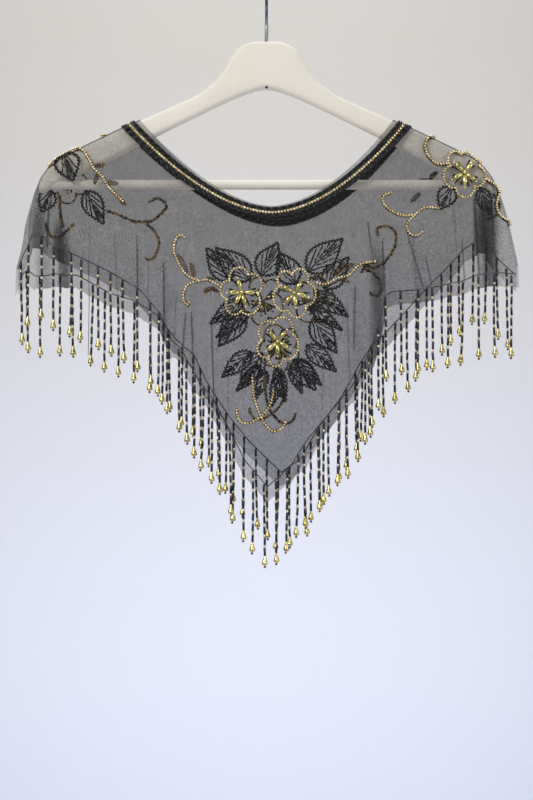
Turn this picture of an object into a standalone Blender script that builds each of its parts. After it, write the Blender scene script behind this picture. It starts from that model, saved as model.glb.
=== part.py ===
"""A net cape edged with beads, hanging on a wooden clothes hanger.

Lengths are metres. +X is the right of the front view, +Y points to the back
and +Z up. The origin is the top of the inside of the hanger's hook, where a
rail or a nail holds the hanger. Tables are in millimetres, and MM turns them
into metres.
"""

import math
from collections import namedtuple

import bmesh
import bpy
import numpy as np
from mathutils import Vector
from mathutils.bvhtree import BVHTree

MM = 0.001
FIT_GAP = 0.3 * MM

# Hanger: a flat wooden board, a round bar let into its ends, and a wire hook
WOOD_THICKNESS = 12 * MM
WOOD_EDGE_ROUND = 4.5 * MM
BAR_RADIUS = 4.8 * MM
BAR_HEIGHT = -198.5 * MM
BAR_HALF_LENGTH = 214 * MM
WIRE_RADIUS = 1.6 * MM
HOOK_RADIUS = 20 * MM
HOOK_TIP_ANGLE = 205
HOOK_LEAVING_ANGLE = -50
STEM_BEND_RADIUS = 6 * MM
STEM_FOOT = -101 * MM
HOOK_BORE_TOP = -50 * MM
HOOK_BORE_FOOT = -115 * MM

# Net
NET_THICKNESS = 1.0 * MM
RIDGE_CLEARANCE = 1.6 * MM
SEAM_HALF_GAP = 0.3 * MM
WRAP_RISE = 5 * MM
WRAP_DEPTH = 7.4 * MM
CORNER_WRAP_DEPTH = 4 * MM
WRAP_ANGLES = (0, 30, 60, 90)
HANG_LENGTH = 60 * MM
BODY_ROWS = 5
RAW_EDGE = 13 * MM
COLUMN_STEP = 12 * MM
CORNER_STEP = 6 * MM
CORNER_START = 216 * MM
FOLD_COLUMN_DISTANCE = 2.4 * MM
PLAIN_COLUMN_DISTANCE = 4 * MM
NECK_END_COLUMNS = (0, 1 * MM, 2.5 * MM, 5 * MM)
DEEP_FOLD = 7
DEEP_FOLD_COLUMNS = (-1, -0.5, 0, 0.5, 1)
SOFT_FOLD_COLUMNS = (-1, 0, 1)

# Neck line: a U whose height follows a power of its width
NECK_POWER = 1.77
BAND_THICKNESS = 2.2 * MM
BAND_GAP = 0.45 * MM
BAND_STATIONS = 13
BAND_WRAP_SHARE = 0.05

# Fringe
STRAND_PITCH = 16 * MM
STRAND_RADIUS = 1.0 * MM
STRIP_HEIGHT = 1.8 * MM
STRIP_GAP = 0.55 * MM
STEEPEST_HEM = 2.2
ROOT_CLEARANCE = 0.2 * MM

# Flowers and leaves
SEWN_GAP = 0.45 * MM
PETALS = 5
FLOWER_TIP_RADIUS = 14 * MM
LEAF_RIBS = 4
LEAF_THICKNESS = 1.8 * MM

OutlinePoint = namedtuple("OutlinePoint", "x z")
HemPoint = namedtuple("HemPoint", "x z")
Fold = namedtuple("Fold", "x_top x_hem half_width depth z_start z_full")
NeckLine = namedtuple("NeckLine", "half_width z_ends z_bottom lean")
StrandRing = namedtuple("StrandRing", "drop radius")
PetalStation = namedtuple("PetalStation", "share radius edge_height")
Flower = namedtuple("Flower", "name x z")
Leaf = namedtuple("Leaf", "base_x base_z tip_x tip_z half_width")

# Right half of the hanger's board, along its top and back along its underside
HANGER_TOP = [OutlinePoint(*row) for row in (
    (0, -60), (15, -60.5), (26, -67), (35, -78), (42, -89), (50, -97.5), (60, -106),
    (73, -114), (140, -143), (182, -163), (202, -173), (213, -182), (220.5, -192),
)]
HANGER_UNDERSIDE = [OutlinePoint(*row) for row in (
    (224, -202), (218.5, -208.5), (208, -207), (200, -198), (187, -190.5),
    (167, -181.5), (131, -162.5), (52, -123.5), (16, -107.5), (0, -103),
)]

# Outer fold of the net below the hanger's ends, from the hanger down to the hem
CORNER_FOLD_LEFT = [OutlinePoint(*row) for row in (
    (-246, -280), (-241, -262), (-238.7, -250), (-237, -238), (-234.6, -228),
    (-230.6, -215.6), (-227.6, -206),
)]
CORNER_FOLD_RIGHT = [OutlinePoint(*row) for row in (
    (228.5, -206), (232.8, -217), (237.7, -234), (242.6, -255), (246, -270), (247.5, -278),
)]

# Hem threads, left to right
FRONT_HEM = [HemPoint(*row) for row in (
    (-246, -289), (-237.5, -268), (-227, -251), (-218, -251), (-210, -259),
    (-186, -269.5), (-156, -284), (-126, -301), (-103, -326), (-92, -353), (-82, -361.5),
    (-69, -387), (-53, -408), (-38.6, -435), (-20.6, -470), (1, -495), (23, -475.5),
    (39, -450), (62, -422.5), (83, -397), (103, -358), (115, -309.5), (123, -305),
    (152, -303), (190, -295), (204, -289), (227, -286.5), (247.5, -287.5),
)]
BACK_HEM = [HemPoint(*row) for row in (
    (-246, -291), (-237.5, -281), (-230.6, -287), (-212, -284.6), (-189, -286),
    (-158, -303), (-133, -311), (-107, -327), (-92.5, -348.5), (-71.5, -366.5),
    (-61, -391), (-37.7, -426.5), (-17.6, -451.5), (14.7, -483), (36, -467.5),
    (51, -439), (73.5, -409.6), (104, -357), (121.5, -341.5), (152, -307.5),
    (183, -275.5), (197, -260), (212, -250.5), (220, -250.5), (229, -268.5), (247.5, -288),
)]

# Folds that stand out of each side, widening down to the hem
FRONT_FOLDS = [Fold(*row) for row in (
    (-221, -224, 11, 11, -196, -250),
    (-202, -203, 9, 6, -225, -265),
    (-126, -127, 9, 5, -235, -290),
    (-101, -102, 9, 7, -250, -320),
    (-74, -76, 10, 6, -300, -350),
    (-52, -54, 10, 6, -330, -405),
    (83, 84, 10, 6, -300, -355),
    (105, 108, 11, 11, -235, -300),
    (138, 151, 10, 7, -235, -300),
    (176, 180, 12, 5, -240, -290),
    (212, 216, 12, 6, -210, -270),
)]
BACK_FOLDS = [Fold(*row) for row in (
    (-220, -222, 11, 6, -205, -260),
    (-203, -200, 10, 6, -225, -275),
    (-150, -150, 13, 6, -235, -300),
    (-97, -97, 10, 7, -260, -330),
    (-62, -66, 10, 6, -320, -380),
    (44, 46, 11, 5, -390, -450),
    (90, 97, 10, 7, -280, -350),
    (125, 130, 11, 8, -255, -330),
    (165, 170, 11, 6, -225, -285),
    (213, 216, 12, 11, -200, -250),
)]

# Half width, height at the ends, height at the bottom, and the sideways lean of the bottom
FRONT_NET_NECK = NeckLine(123, -134.2, -219.5, 2)
FRONT_BAND_INNER = NeckLine(126, -135.7, -222.3, 2)
FRONT_BAND_OUTER = NeckLine(142, -142.6, -233.5, 2)
BACK_NET_NECK = NeckLine(123, -134.2, -225, 10)
BACK_BAND_INNER = NeckLine(126, -135.7, -228, 10)
BACK_BAND_OUTER = NeckLine(142, -142.6, -239.5, 10)

# Distances below the strand's root and the strand's half width there
STRAND_RINGS = [StrandRing(*row) for row in (
    (68.5, 1.0), (76, 2.6), (81, 1.0),
)]

# One petal's outline, as shares of the angle from one petal to the next
PETAL_STATIONS = [PetalStation(*row) for row in (
    (0, 1.0, 1.2), (0.22, 0.84, 1.2), (0.5, 0.36, 1.0), (0.78, 0.84, 1.2),
)]
PETAL_CREST_SHARE = 0.62
PETAL_CREST_HEIGHT = 3.0
FLOWER_CENTRE_HEIGHT = 4.2

# The flower spray and its leaves, on the front and mirrored on the back
SPRAY_FLOWERS = [Flower(*row) for row in (
    ("left", -24.5, -304.8), ("right", 28.2, -305.3), ("low", 11.6, -354.2),
)]
SPRAY_LEAVES = [Leaf(*row) for row in (
    (-34.5, -293.5, -58.8, -262.6, 11), (-4.9, -289.1, 11.3, -257.2, 12),
    (40.2, -285.2, 74.5, -253.2, 13), (-22.5, -325.4, -47, -358.7, 11),
    (48, -306.2, 74, -326.5, 8), (41.6, -318.3, 74, -343, 5.5),
    (-3.9, -365.5, -25.9, -396.2, 10), (39.2, -357.7, 68.3, -383.1, 8.5),
    (29.4, -371.4, 53.5, -396.5, 6), (23.5, -377.3, 34.6, -404.4, 5), (9.8, -379.3, 18.4, -412.4, 6),
)]
SPRAY_MIRROR_X = 11.7
BACK_SPRAY_DROP = 5

# The shoulder flowers lie on the front at the right and on the back at the left
FRONT_SHOULDER_FLOWER = Flower("shoulder_right", 194.7, -190.5)
BACK_SHOULDER_FLOWER = Flower("shoulder_left", -198, -190.5)
FRONT_SHOULDER_LEAVES = [Leaf(*row) for row in (
    (-192.5, -175, -188.7, -196.5, 9), (180.5, -203, 168.6, -225.4, 9),
)]
BACK_SHOULDER_LEAVES = [Leaf(*row) for row in (
    (-180, -203, -162.3, -235.3, 10), (-213.5, -206, -221, -226, 6),
)]


def clear_scene():
    """Remove every object that the session started with."""
    for thing in list(bpy.data.objects):
        bpy.data.objects.remove(thing, do_unlink=True)


def new_collection(name):
    """Return a new collection linked to the scene."""
    collection = bpy.data.collections.new(name)
    bpy.context.scene.collection.children.link(collection)
    return collection


def finish(name, colour, roughness, metallic=0.0):
    """Return a Principled material of one colour."""
    material = bpy.data.materials.new(name)
    material.use_nodes = True
    shader = material.node_tree.nodes["Principled BSDF"]
    shader.inputs["Base Color"].default_value = (*colour, 1.0)
    shader.inputs["Roughness"].default_value = roughness
    shader.inputs["Metallic"].default_value = metallic
    return material


def place(name, mesh, collection, material):
    """Put a mesh into a collection as a named, smooth-shaded object."""
    mesh.shade_smooth()
    mesh.set_sharp_from_angle(angle=math.radians(35))
    thing = bpy.data.objects.new(name, mesh)
    collection.objects.link(thing)
    thing.data.materials.append(material)
    return thing


def mesh_from(name, points, faces):
    """Return a mesh with its faces pointing the same way."""
    mesh = bpy.data.meshes.new(name)
    mesh.from_pydata([tuple(point) for point in points], [], faces)
    work = bmesh.new()
    work.from_mesh(mesh)
    bmesh.ops.recalc_face_normals(work, faces=work.faces)
    work.to_mesh(mesh)
    work.free()
    return mesh


def take_cutter(collection, name):
    """Move the active primitive among the cutters and hide it."""
    cutter = bpy.context.object
    cutter.name = name
    for holder in list(cutter.users_collection):
        holder.objects.unlink(cutter)
    collection.objects.link(cutter)
    cutter.hide_render = True
    cutter.display_type = "WIRE"
    return cutter


def in_metres(rows):
    """Return two arrays, x and z in metres, from rows in millimetres."""
    return np.array([row.x for row in rows]) * MM, np.array([row.z for row in rows]) * MM


def raised(rows, clearance):
    """Return the rows of an outline, moved out of it by a clearance in metres."""
    moved = []
    for index, row in enumerate(rows):
        before = rows[max(index - 1, 0)]
        after = rows[min(index + 1, len(rows) - 1)]
        along = Vector((after.x - before.x, after.z - before.z)).normalized()
        moved.append(OutlinePoint(row.x - along.y * clearance / MM, row.z + along.x * clearance / MM))
    return moved


def ridge_rows():
    """Return the fold line of the net, over the hanger and down its corners."""
    right = raised(HANGER_TOP, RIDGE_CLEARANCE)
    left = [OutlinePoint(-row.x, row.z) for row in reversed(right)]
    return CORNER_FOLD_LEFT + left[:-1] + right[1:] + CORNER_FOLD_RIGHT


RIDGE_X, RIDGE_Z = in_metres(ridge_rows())


def ridge_z(x):
    """Height of the net's fold line."""
    return float(np.interp(x, RIDGE_X, RIDGE_Z))


def wrap_depth(x):
    """Half depth of the net where it turns over the fold line."""
    hanger_end = HANGER_UNDERSIDE[0].x * MM + 3 * MM
    corner = max(RIDGE_X[-1], -RIDGE_X[0])
    return float(np.interp(abs(x), (hanger_end, corner), (WRAP_DEPTH, CORNER_WRAP_DEPTH)))


def neck_z(line, x):
    """Height of a neck line, which rises with a power of the width."""
    half = line.half_width * MM
    share = min(abs(x) / half, 1.0)
    lean = line.lean * MM * (1 - share * share)
    across = min(abs(x - lean) / half, 1.0)
    return (line.z_bottom + (line.z_ends - line.z_bottom) * across ** NECK_POWER) * MM


def fold_rise(fold, x, z):
    """How far one fold stands out at a point of the net."""
    share = min(max((fold.z_start * MM - z) / ((fold.z_start - fold.z_full) * MM), 0.0), 1.0)
    growth = share * share * (3 - 2 * share)
    centre = (fold.x_top + (fold.x_hem - fold.x_top) * share) * MM
    across = (x - centre) / (fold.half_width * MM)
    if abs(across) >= 1:
        return 0.0
    return fold.depth * MM * growth * math.cos(math.pi * across / 2) ** 2


class Panel:
    """One hanging side of the net: its form, its grid of points and its surface."""

    def __init__(self, side, hem, folds, neck, fullness):
        self.side = side
        self.hem_x, self.hem_z = in_metres(hem)
        self.folds = folds
        self.neck = neck
        self.fullness = fullness
        self.columns = self.column_places()
        self.grid = [self.column(x) for x in self.columns]
        self.tree = BVHTree.FromPolygons(*self.sheet())

    def thread_z(self, x):
        """Height of the hem thread."""
        return float(np.interp(x, self.hem_x, self.hem_z))

    def stand_off(self, x, z):
        """Distance of the net from the hanger's middle plane."""
        drop = max(ridge_z(x) - z, 0.0)
        turn = 1 - min(drop / WRAP_RISE, 1.0)
        wrap = wrap_depth(x) * math.sqrt(1 - turn * turn)
        hang = self.fullness * (1 - math.exp(-drop / HANG_LENGTH))
        folds = sum(fold_rise(fold, x, z) for fold in self.folds)
        return max(wrap + hang + folds, SEAM_HALF_GAP)

    def at(self, x, z):
        """A point in the middle of the net's thickness."""
        return Vector((x, self.side * self.stand_off(x, z), z))

    def outward(self, x, z):
        """The outward direction of the net at a point."""
        step = 0.4 * MM
        down = self.at(x, z - step) - self.at(x, z)
        across = self.at(x + step, z) - self.at(x - step, z)
        normal = down.cross(across).normalized()
        if normal.y * self.side < 0:
            normal = -normal
        if ridge_z(x) - z < step:
            normal.y = 0
            normal.z = abs(normal.z)
            normal.normalize()
        return normal

    def column_places(self):
        """Places of the columns: even steps, closer at the corners, the neck's ends and the folds."""
        left, right = self.hem_x[0], self.hem_x[-1]
        kept = [left, right]
        for inset in NECK_END_COLUMNS:
            kept.append(self.neck.half_width * MM - inset)
            kept.append(inset - self.neck.half_width * MM)
        at_folds = []
        for fold in self.folds:
            for share in DEEP_FOLD_COLUMNS if fold.depth >= DEEP_FOLD else SOFT_FOLD_COLUMNS:
                at_folds.append((fold.x_hem + share * fold.half_width) * MM)
        plain = list(np.arange(left, -CORNER_START, CORNER_STEP))
        plain += list(np.arange(-CORNER_START, CORNER_START, COLUMN_STEP))
        plain += list(np.arange(CORNER_START, right, CORNER_STEP))
        for places, distance in ((at_folds, FOLD_COLUMN_DISTANCE), (plain, PLAIN_COLUMN_DISTANCE)):
            for place_wanted in places:
                if min(abs(place_wanted - other) for other in kept) > distance:
                    kept.append(place_wanted)
        return sorted(place_kept for place_kept in kept if left <= place_kept <= right)

    def column(self, x):
        """Points of one column, from the fold or the neck down to the raw edge."""
        ridge = ridge_z(x)
        top = min(ridge, neck_z(self.neck, x)) if abs(x) < self.neck.half_width * MM else ridge
        heights = [top - WRAP_RISE * (1 - math.cos(math.radians(angle))) for angle in WRAP_ANGLES]
        start = heights[-1]
        thread = self.thread_z(x)
        heights += [start + (thread - start) * row / BODY_ROWS for row in range(1, BODY_ROWS + 1)]
        points = [self.at(x, z) for z in heights]
        points.append(points[-1] - Vector((0, 0, RAW_EDGE)))
        return points

    def sheet(self):
        """Points and faces of the net without thickness."""
        rows = len(self.grid[0])
        points = [point for column in self.grid for point in column]
        faces = []
        for column in range(len(self.grid) - 1):
            for row in range(rows - 1):
                corner = column * rows + row
                faces.append((corner, corner + 1, corner + rows + 1, corner + rows))
        return points, faces

    def on_surface(self, x, z):
        """The faceted net's point and outward direction straight behind x and z."""
        start = Vector((x, self.side * 0.2, z))
        point, normal, _, _ = self.tree.ray_cast(start, Vector((0, -self.side, 0)))
        if normal.y * self.side < 0:
            normal = -normal
        return point, normal

    def moved_out(self, x, z, height):
        """A point above the net's outer face, straight out of its surface."""
        point, normal = self.on_surface(x, z)
        return point + normal * (NET_THICKNESS / 2 + height)


def build_hanger(parts, cutters):
    """Make the board, the bar and the hook of the hanger."""
    build_board(parts, cutters)
    bpy.ops.mesh.primitive_cylinder_add(
        vertices=20, radius=BAR_RADIUS, depth=2 * BAR_HALF_LENGTH,
        location=(0, 0, BAR_HEIGHT), rotation=(0, math.pi / 2, 0))
    bar = bpy.context.object
    bar.name = "hanger_bar"
    for holder in list(bar.users_collection):
        holder.objects.unlink(bar)
    parts.objects.link(bar)
    bar.data.shade_smooth()
    bar.data.set_sharp_from_angle(angle=math.radians(35))
    bar.data.materials.append(finish("bar_paint", (0.72, 0.68, 0.6), 0.45))
    build_hook(parts)


def board_outline():
    """Return the whole outline of the board, mirrored from its right half."""
    right = HANGER_TOP + HANGER_UNDERSIDE
    left = [OutlinePoint(-row.x, row.z) for row in reversed(right[1:-1])]
    return [(row.x * MM, row.z * MM) for row in right + left]


def build_board(parts, cutters):
    """Cut the board from its outline with rounded edges, and bore it."""
    curve = bpy.data.curves.new("board_outline", "CURVE")
    curve.dimensions = "2D"
    curve.fill_mode = "BOTH"
    curve.extrude = WOOD_THICKNESS / 2 - WOOD_EDGE_ROUND
    curve.bevel_depth = WOOD_EDGE_ROUND
    curve.bevel_resolution = 1
    curve.offset = -WOOD_EDGE_ROUND
    outline = board_outline()
    spline = curve.splines.new("POLY")
    spline.points.add(len(outline) - 1)
    for point, (x, z) in zip(spline.points, outline):
        point.co = (x, z, 0, 1)
    spline.use_cyclic_u = True
    guide = bpy.data.objects.new("board_outline", curve)
    guide.rotation_euler.x = math.pi / 2
    parts.objects.link(guide)
    bpy.context.view_layer.update()
    graph = bpy.context.evaluated_depsgraph_get()
    mesh = bpy.data.meshes.new_from_object(guide.evaluated_get(graph))
    mesh.transform(guide.matrix_world)
    bpy.data.objects.remove(guide, do_unlink=True)
    work = bmesh.new()
    work.from_mesh(mesh)
    bmesh.ops.remove_doubles(work, verts=work.verts, dist=0.01 * MM)
    bmesh.ops.recalc_face_normals(work, faces=work.faces)
    work.to_mesh(mesh)
    work.free()
    board = place("hanger_wood", mesh, parts, finish("cream_paint", (0.74, 0.7, 0.62), 0.4))
    bpy.ops.mesh.primitive_cylinder_add(
        vertices=20, radius=BAR_RADIUS + FIT_GAP, depth=2 * (BAR_HALF_LENGTH + FIT_GAP),
        location=(0, 0, BAR_HEIGHT), rotation=(0, math.pi / 2, 0))
    bar_bore = take_cutter(cutters, "bar_bore")
    bpy.ops.mesh.primitive_cylinder_add(
        vertices=16, radius=WIRE_RADIUS + FIT_GAP, depth=HOOK_BORE_TOP - HOOK_BORE_FOOT,
        location=(0, 0, (HOOK_BORE_TOP + HOOK_BORE_FOOT) / 2))
    hook_bore = take_cutter(cutters, "hook_bore")
    for cutter in (bar_bore, hook_bore):
        cut = board.modifiers.new(cutter.name, "BOOLEAN")
        cut.operation = "DIFFERENCE"
        cut.object = cutter


def arc(centre, radius, start, end, steps):
    """Points of an arc in the YZ plane, as (y, z), with angles in degrees from +Y."""
    angles = [math.radians(start + (end - start) * step / steps) for step in range(steps + 1)]
    return [(centre[0] + radius * math.cos(a), centre[1] + radius * math.sin(a)) for a in angles]


def build_hook(parts):
    """Bend the wire: a round hook that runs through a small bend into its stem."""
    ring_centre = (0.0, WIRE_RADIUS - HOOK_RADIUS)
    ring = arc(ring_centre, HOOK_RADIUS, HOOK_TIP_ANGLE, HOOK_LEAVING_ANGLE, 18)
    leaving = math.radians(HOOK_LEAVING_ANGLE)
    slope = math.cos(leaving) / -math.sin(leaving)
    corner_z = ring[-1][1] - ring[-1][0] * slope
    turn = 90 + HOOK_LEAVING_ANGLE
    setback = STEM_BEND_RADIUS * math.tan(math.radians(90 - turn) / 2)
    bend_centre = (STEM_BEND_RADIUS, corner_z - setback)
    bend = arc(bend_centre, STEM_BEND_RADIUS, 90 + turn, 180, 4)
    points = ring + bend + [(0.0, STEM_FOOT)]
    curve = bpy.data.curves.new("hanger_hook", "CURVE")
    curve.dimensions = "3D"
    curve.bevel_depth = WIRE_RADIUS
    curve.bevel_resolution = 2
    curve.use_fill_caps = True
    spline = curve.splines.new("POLY")
    spline.points.add(len(points) - 1)
    for point, (y, z) in zip(spline.points, points):
        point.co = (0, y, z, 1)
    hook = bpy.data.objects.new("hanger_hook", curve)
    hook.data.materials.append(finish("chrome_wire", (0.8, 0.8, 0.82), 0.15, 1.0))
    parts.objects.link(hook)


def build_net(parts, name, panel, material):
    """Give one side of the net its thickness."""
    sheet = place(name, mesh_from(name, *panel.sheet()), parts, material)
    wall = sheet.modifiers.new("net_thickness", "SOLIDIFY")
    wall.thickness = NET_THICKNESS
    wall.offset = 0
    wall.use_even_offset = True
    wall.use_quality_normals = True


def closed_strip(sections):
    """Points and faces of a strip lofted through sections of four points each."""
    points = [point for section in sections for point in section]
    last = 4 * (len(sections) - 1)
    faces = [(0, 1, 2, 3), (last + 3, last + 2, last + 1, last)]
    for first in range(0, last, 4):
        for side in range(4):
            after = (side + 1) % 4
            faces.append((first + side, first + after, first + 4 + after, first + 4 + side))
    return points, faces


def band_shares():
    """Places of the band's sections along its half width, close where it turns over the fold."""
    turn = [1 - BAND_WRAP_SHARE / 2 * (1 - math.cos(math.radians(angle))) for angle in WRAP_ANGLES]
    run = [(1 - BAND_WRAP_SHARE) * step / BAND_STATIONS for step in range(BAND_STATIONS, 0, -1)]
    half = turn + run
    return [-share for share in half] + [0.0] + half[::-1]


def build_band(parts, name, panel, inner, outer, material):
    """Lay the beaded band on the net, along the neck."""
    low = NET_THICKNESS / 2 + BAND_GAP
    high = low + BAND_THICKNESS
    sections = []
    for share in band_shares():
        section = []
        for line, heights in ((inner, (low, high)), (outer, (high, low))):
            x = share * line.half_width * MM
            z = min(neck_z(line, x), ridge_z(x))
            if abs(share) == 1:
                z = ridge_z(x)
            for height in heights:
                section.append(panel.at(x, z) + panel.outward(x, z) * height)
        sections.append(section)
    place(name, mesh_from(name, *closed_strip(sections)), parts, material)


def hem_path(panel):
    """The hem thread as points on the net, without the outermost columns."""
    return [column[-2] for column in panel.grid[1:-1]]


def along(path):
    """Length along a path up to each of its points."""
    lengths = [0.0]
    for first, second in zip(path, path[1:]):
        lengths.append(lengths[-1] + (second - first).length)
    return lengths


def turn_setbacks(path):
    """How far the strip's outer side reaches back along the path at each of its turns."""
    depth = NET_THICKNESS / 2 + STRIP_GAP + 2 * STRAND_RADIUS
    setbacks = [0.0]
    for before, here, after in zip(path, path[1:], path[2:]):
        arriving = Vector((here - before).xy)
        leaving = Vector((after - here).xy)
        setbacks.append(depth * math.tan(abs(arriving.angle_signed(leaving)) / 2))
    return setbacks + [0.0]


def strand_places(path, lengths):
    """Places of the strands along the hem, a pitch apart and clear of the columns."""
    reach = [0.0]
    for first, second in zip(path, path[1:]):
        step = second - first
        rise = min(abs(step.z), STEEPEST_HEM * step.x)
        reach.append(reach[-1] + math.hypot(step.x, rise))
    count = round(reach[-1] / STRAND_PITCH)
    margins = [STRAND_RADIUS + ROOT_CLEARANCE + setback for setback in turn_setbacks(path)]
    spans = []
    for index in range(len(path) - 1):
        low = lengths[index] + margins[index]
        high = lengths[index + 1] - margins[index + 1]
        if low < high:
            spans.append((low, high))
    places = []
    for index in range(count):
        nominal = float(np.interp((index + 0.5) * reach[-1] / count, reach, lengths))
        low, high = min(spans, key=lambda span: max(span[0] - nominal, nominal - span[1]))
        places.append(min(max(nominal, low), high))
    return places


def point_along(path, lengths, place_on_path):
    """The point of a path at a length along it."""
    axes = zip(*path)
    return Vector([float(np.interp(place_on_path, lengths, axis)) for axis in axes])


def plan_normals(points, side):
    """Outward directions of a path seen from above, stretched at its turns."""
    normals = []
    for index, point in enumerate(points):
        turned = []
        for first, second in ((index - 1, index), (index, index + 1)):
            if first < 0 or second >= len(points):
                continue
            step = points[second] - points[first]
            turned.append(Vector((step.y, -step.x, 0)).normalized() * -side)
        mean = sum(turned, Vector()).normalized()
        normals.append(mean / max(mean.dot(turned[0]), 0.5))
    return normals


def build_fringe(parts, name, panel, material):
    """Hang four-sided strands from a narrow strip that follows the hem thread."""
    path = hem_path(panel)
    lengths = along(path)
    roots = strand_places(path, lengths)
    stations = [(length, False) for length in lengths]
    stations += [(root - STRAND_RADIUS, True) for root in roots]
    stations += [(root + STRAND_RADIUS, False) for root in roots]
    stations.sort()
    points = [point_along(path, lengths, station) for station, _ in stations]
    normals = plan_normals(points, panel.side)
    near = NET_THICKNESS / 2 + STRIP_GAP
    far = near + 2 * STRAND_RADIUS
    top = Vector((0, 0, STRIP_HEIGHT / 2))
    sections = []
    for point, normal in zip(points, normals):
        sections.append([point + normal * near + top, point + normal * far + top,
                         point + normal * far - top, point + normal * near - top])
    verts, faces = closed_strip(sections)
    for index, (_, starts_strand) in enumerate(stations):
        if starts_strand:
            grow_strand(verts, faces, 4 * index, normals[index].normalized())
    place(name, mesh_from(name, verts, faces), parts, material)


def grow_strand(verts, faces, first, outward):
    """Replace the strip's underside between two sections by a hanging strand."""
    root = [first + 2, first + 3, first + 7, first + 6]
    faces.remove((first + 2, first + 3, first + 7, first + 6))
    corners = [verts[index] for index in root]
    centre = sum(corners, Vector()) / 4
    sideways = Vector((-outward.y, outward.x, 0))
    if sideways.dot(corners[2] - corners[1]) < 0:
        sideways = -sideways
    ring = root
    for row in STRAND_RINGS:
        reach = row.radius * MM
        middle = centre - Vector((0, 0, row.drop * MM))
        start = len(verts)
        for out, across in ((1, -1), (-1, -1), (-1, 1), (1, 1)):
            verts.append(middle + outward * out * reach + sideways * across * reach)
        lower = [start + corner for corner in range(4)]
        for corner in range(4):
            after = (corner + 1) % 4
            faces.append((ring[corner], ring[after], lower[after], lower[corner]))
        ring = lower
    faces.append(tuple(ring))


def back_flower(flower):
    """Return a flower of the front spray as it lies on the back, mirrored and a little lower."""
    other = {"left": "right", "right": "left"}.get(flower.name, flower.name)
    return Flower(other, 2 * SPRAY_MIRROR_X - flower.x, flower.z - BACK_SPRAY_DROP)


def back_leaf(leaf):
    """Return a leaf of the front spray as it lies on the back, mirrored and a little lower."""
    return Leaf(2 * SPRAY_MIRROR_X - leaf.base_x, leaf.base_z - BACK_SPRAY_DROP,
                2 * SPRAY_MIRROR_X - leaf.tip_x, leaf.tip_z - BACK_SPRAY_DROP, leaf.half_width)


def build_flower(parts, name, panel, flower, material):
    """Raise five petals round a bead on the net, as one lobed body."""
    x, z = flower.x * MM, flower.z * MM
    steps = PETALS * len(PETAL_STATIONS)
    rings = {"low": [], "low_edge": [], "high": [], "edge": []}
    for petal in range(PETALS):
        for station in PETAL_STATIONS:
            angle = math.radians(90) + (petal + station.share) * math.tau / PETALS
            reach = FLOWER_TIP_RADIUS * station.radius
            edge = (x + reach * math.cos(angle), z + reach * math.sin(angle))
            crest = (x + reach * PETAL_CREST_SHARE * math.cos(angle),
                     z + reach * PETAL_CREST_SHARE * math.sin(angle))
            crest_height = PETAL_CREST_HEIGHT * MM * (0.5 + 0.5 * station.radius)
            rings["low"].append(panel.moved_out(*crest, SEWN_GAP))
            rings["low_edge"].append(panel.moved_out(*edge, SEWN_GAP))
            rings["edge"].append(panel.moved_out(*edge, SEWN_GAP + station.edge_height * MM))
            rings["high"].append(panel.moved_out(*crest, SEWN_GAP + crest_height))
    points = rings["low"] + rings["low_edge"] + rings["edge"] + rings["high"]
    points.append(panel.moved_out(x, z, SEWN_GAP))
    points.append(panel.moved_out(x, z, SEWN_GAP + FLOWER_CENTRE_HEIGHT * MM))
    foot, tip = 4 * steps, 4 * steps + 1
    faces = []
    for step in range(steps):
        after = (step + 1) % steps
        faces.append((foot, step, after))
        faces.append((tip, 3 * steps + after, 3 * steps + step))
        for ring in range(3):
            faces.append((ring * steps + step, ring * steps + steps + step,
                          ring * steps + steps + after, ring * steps + after))
    place(name, mesh_from(name, points, faces), parts, material)


def leaf_outline():
    """Half outline of a leaf: shares of its length and of its half width, rib by rib."""
    rows = []
    for rib in range(LEAF_RIBS):
        share = (rib + 1) / (LEAF_RIBS + 1)
        fullness = math.sin(math.pi * share ** 0.8)
        rows.append((share - 0.09, 0.35 * fullness))
        rows.append((share + 0.05, fullness))
    return rows


def build_leaf(parts, name, panel, leaf, material):
    """Lay a leaf of bead ribs on the net: a rib line with teeth on both sides."""
    base = Vector((leaf.base_x, leaf.base_z)) * MM
    tip = Vector((leaf.tip_x, leaf.tip_z)) * MM
    run = tip - base
    side = Vector((-run.y, run.x)).normalized() * leaf.half_width * MM
    rows = leaf_outline()
    spine = [base + run * share for share, _ in rows]
    left = [middle + side * width for middle, (_, width) in zip(spine, rows)]
    right = [middle - side * width for middle, (_, width) in zip(spine, rows)]
    flat = [base] + left + [tip] + right[::-1] + spine
    low = [panel.moved_out(place_on.x, place_on.y, SEWN_GAP) for place_on in flat]
    high = [panel.moved_out(place_on.x, place_on.y, SEWN_GAP + LEAF_THICKNESS) for place_on in flat]
    count = len(rows)
    tip_at = count + 1
    spine_at = 2 * count + 2
    edge = list(range(spine_at))
    cap = []
    for row in range(count - 1):
        cap.append((1 + row, 2 + row, spine_at + row + 1, spine_at + row))
        cap.append((spine_at - 1 - row, spine_at + row, spine_at + row + 1, spine_at - 2 - row))
    cap += [(0, 1, spine_at), (0, spine_at, spine_at - 1)]
    cap += [(count, tip_at, spine_at + count - 1), (tip_at, tip_at + 1, spine_at + count - 1)]
    offset = len(flat)
    faces = cap + [tuple(offset + index for index in reversed(face)) for face in cap]
    for index, start in enumerate(edge):
        after = edge[(index + 1) % len(edge)]
        faces.append((start, after, offset + after, offset + start))
    place(name, mesh_from(name, low + high, faces), parts, material)


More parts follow.
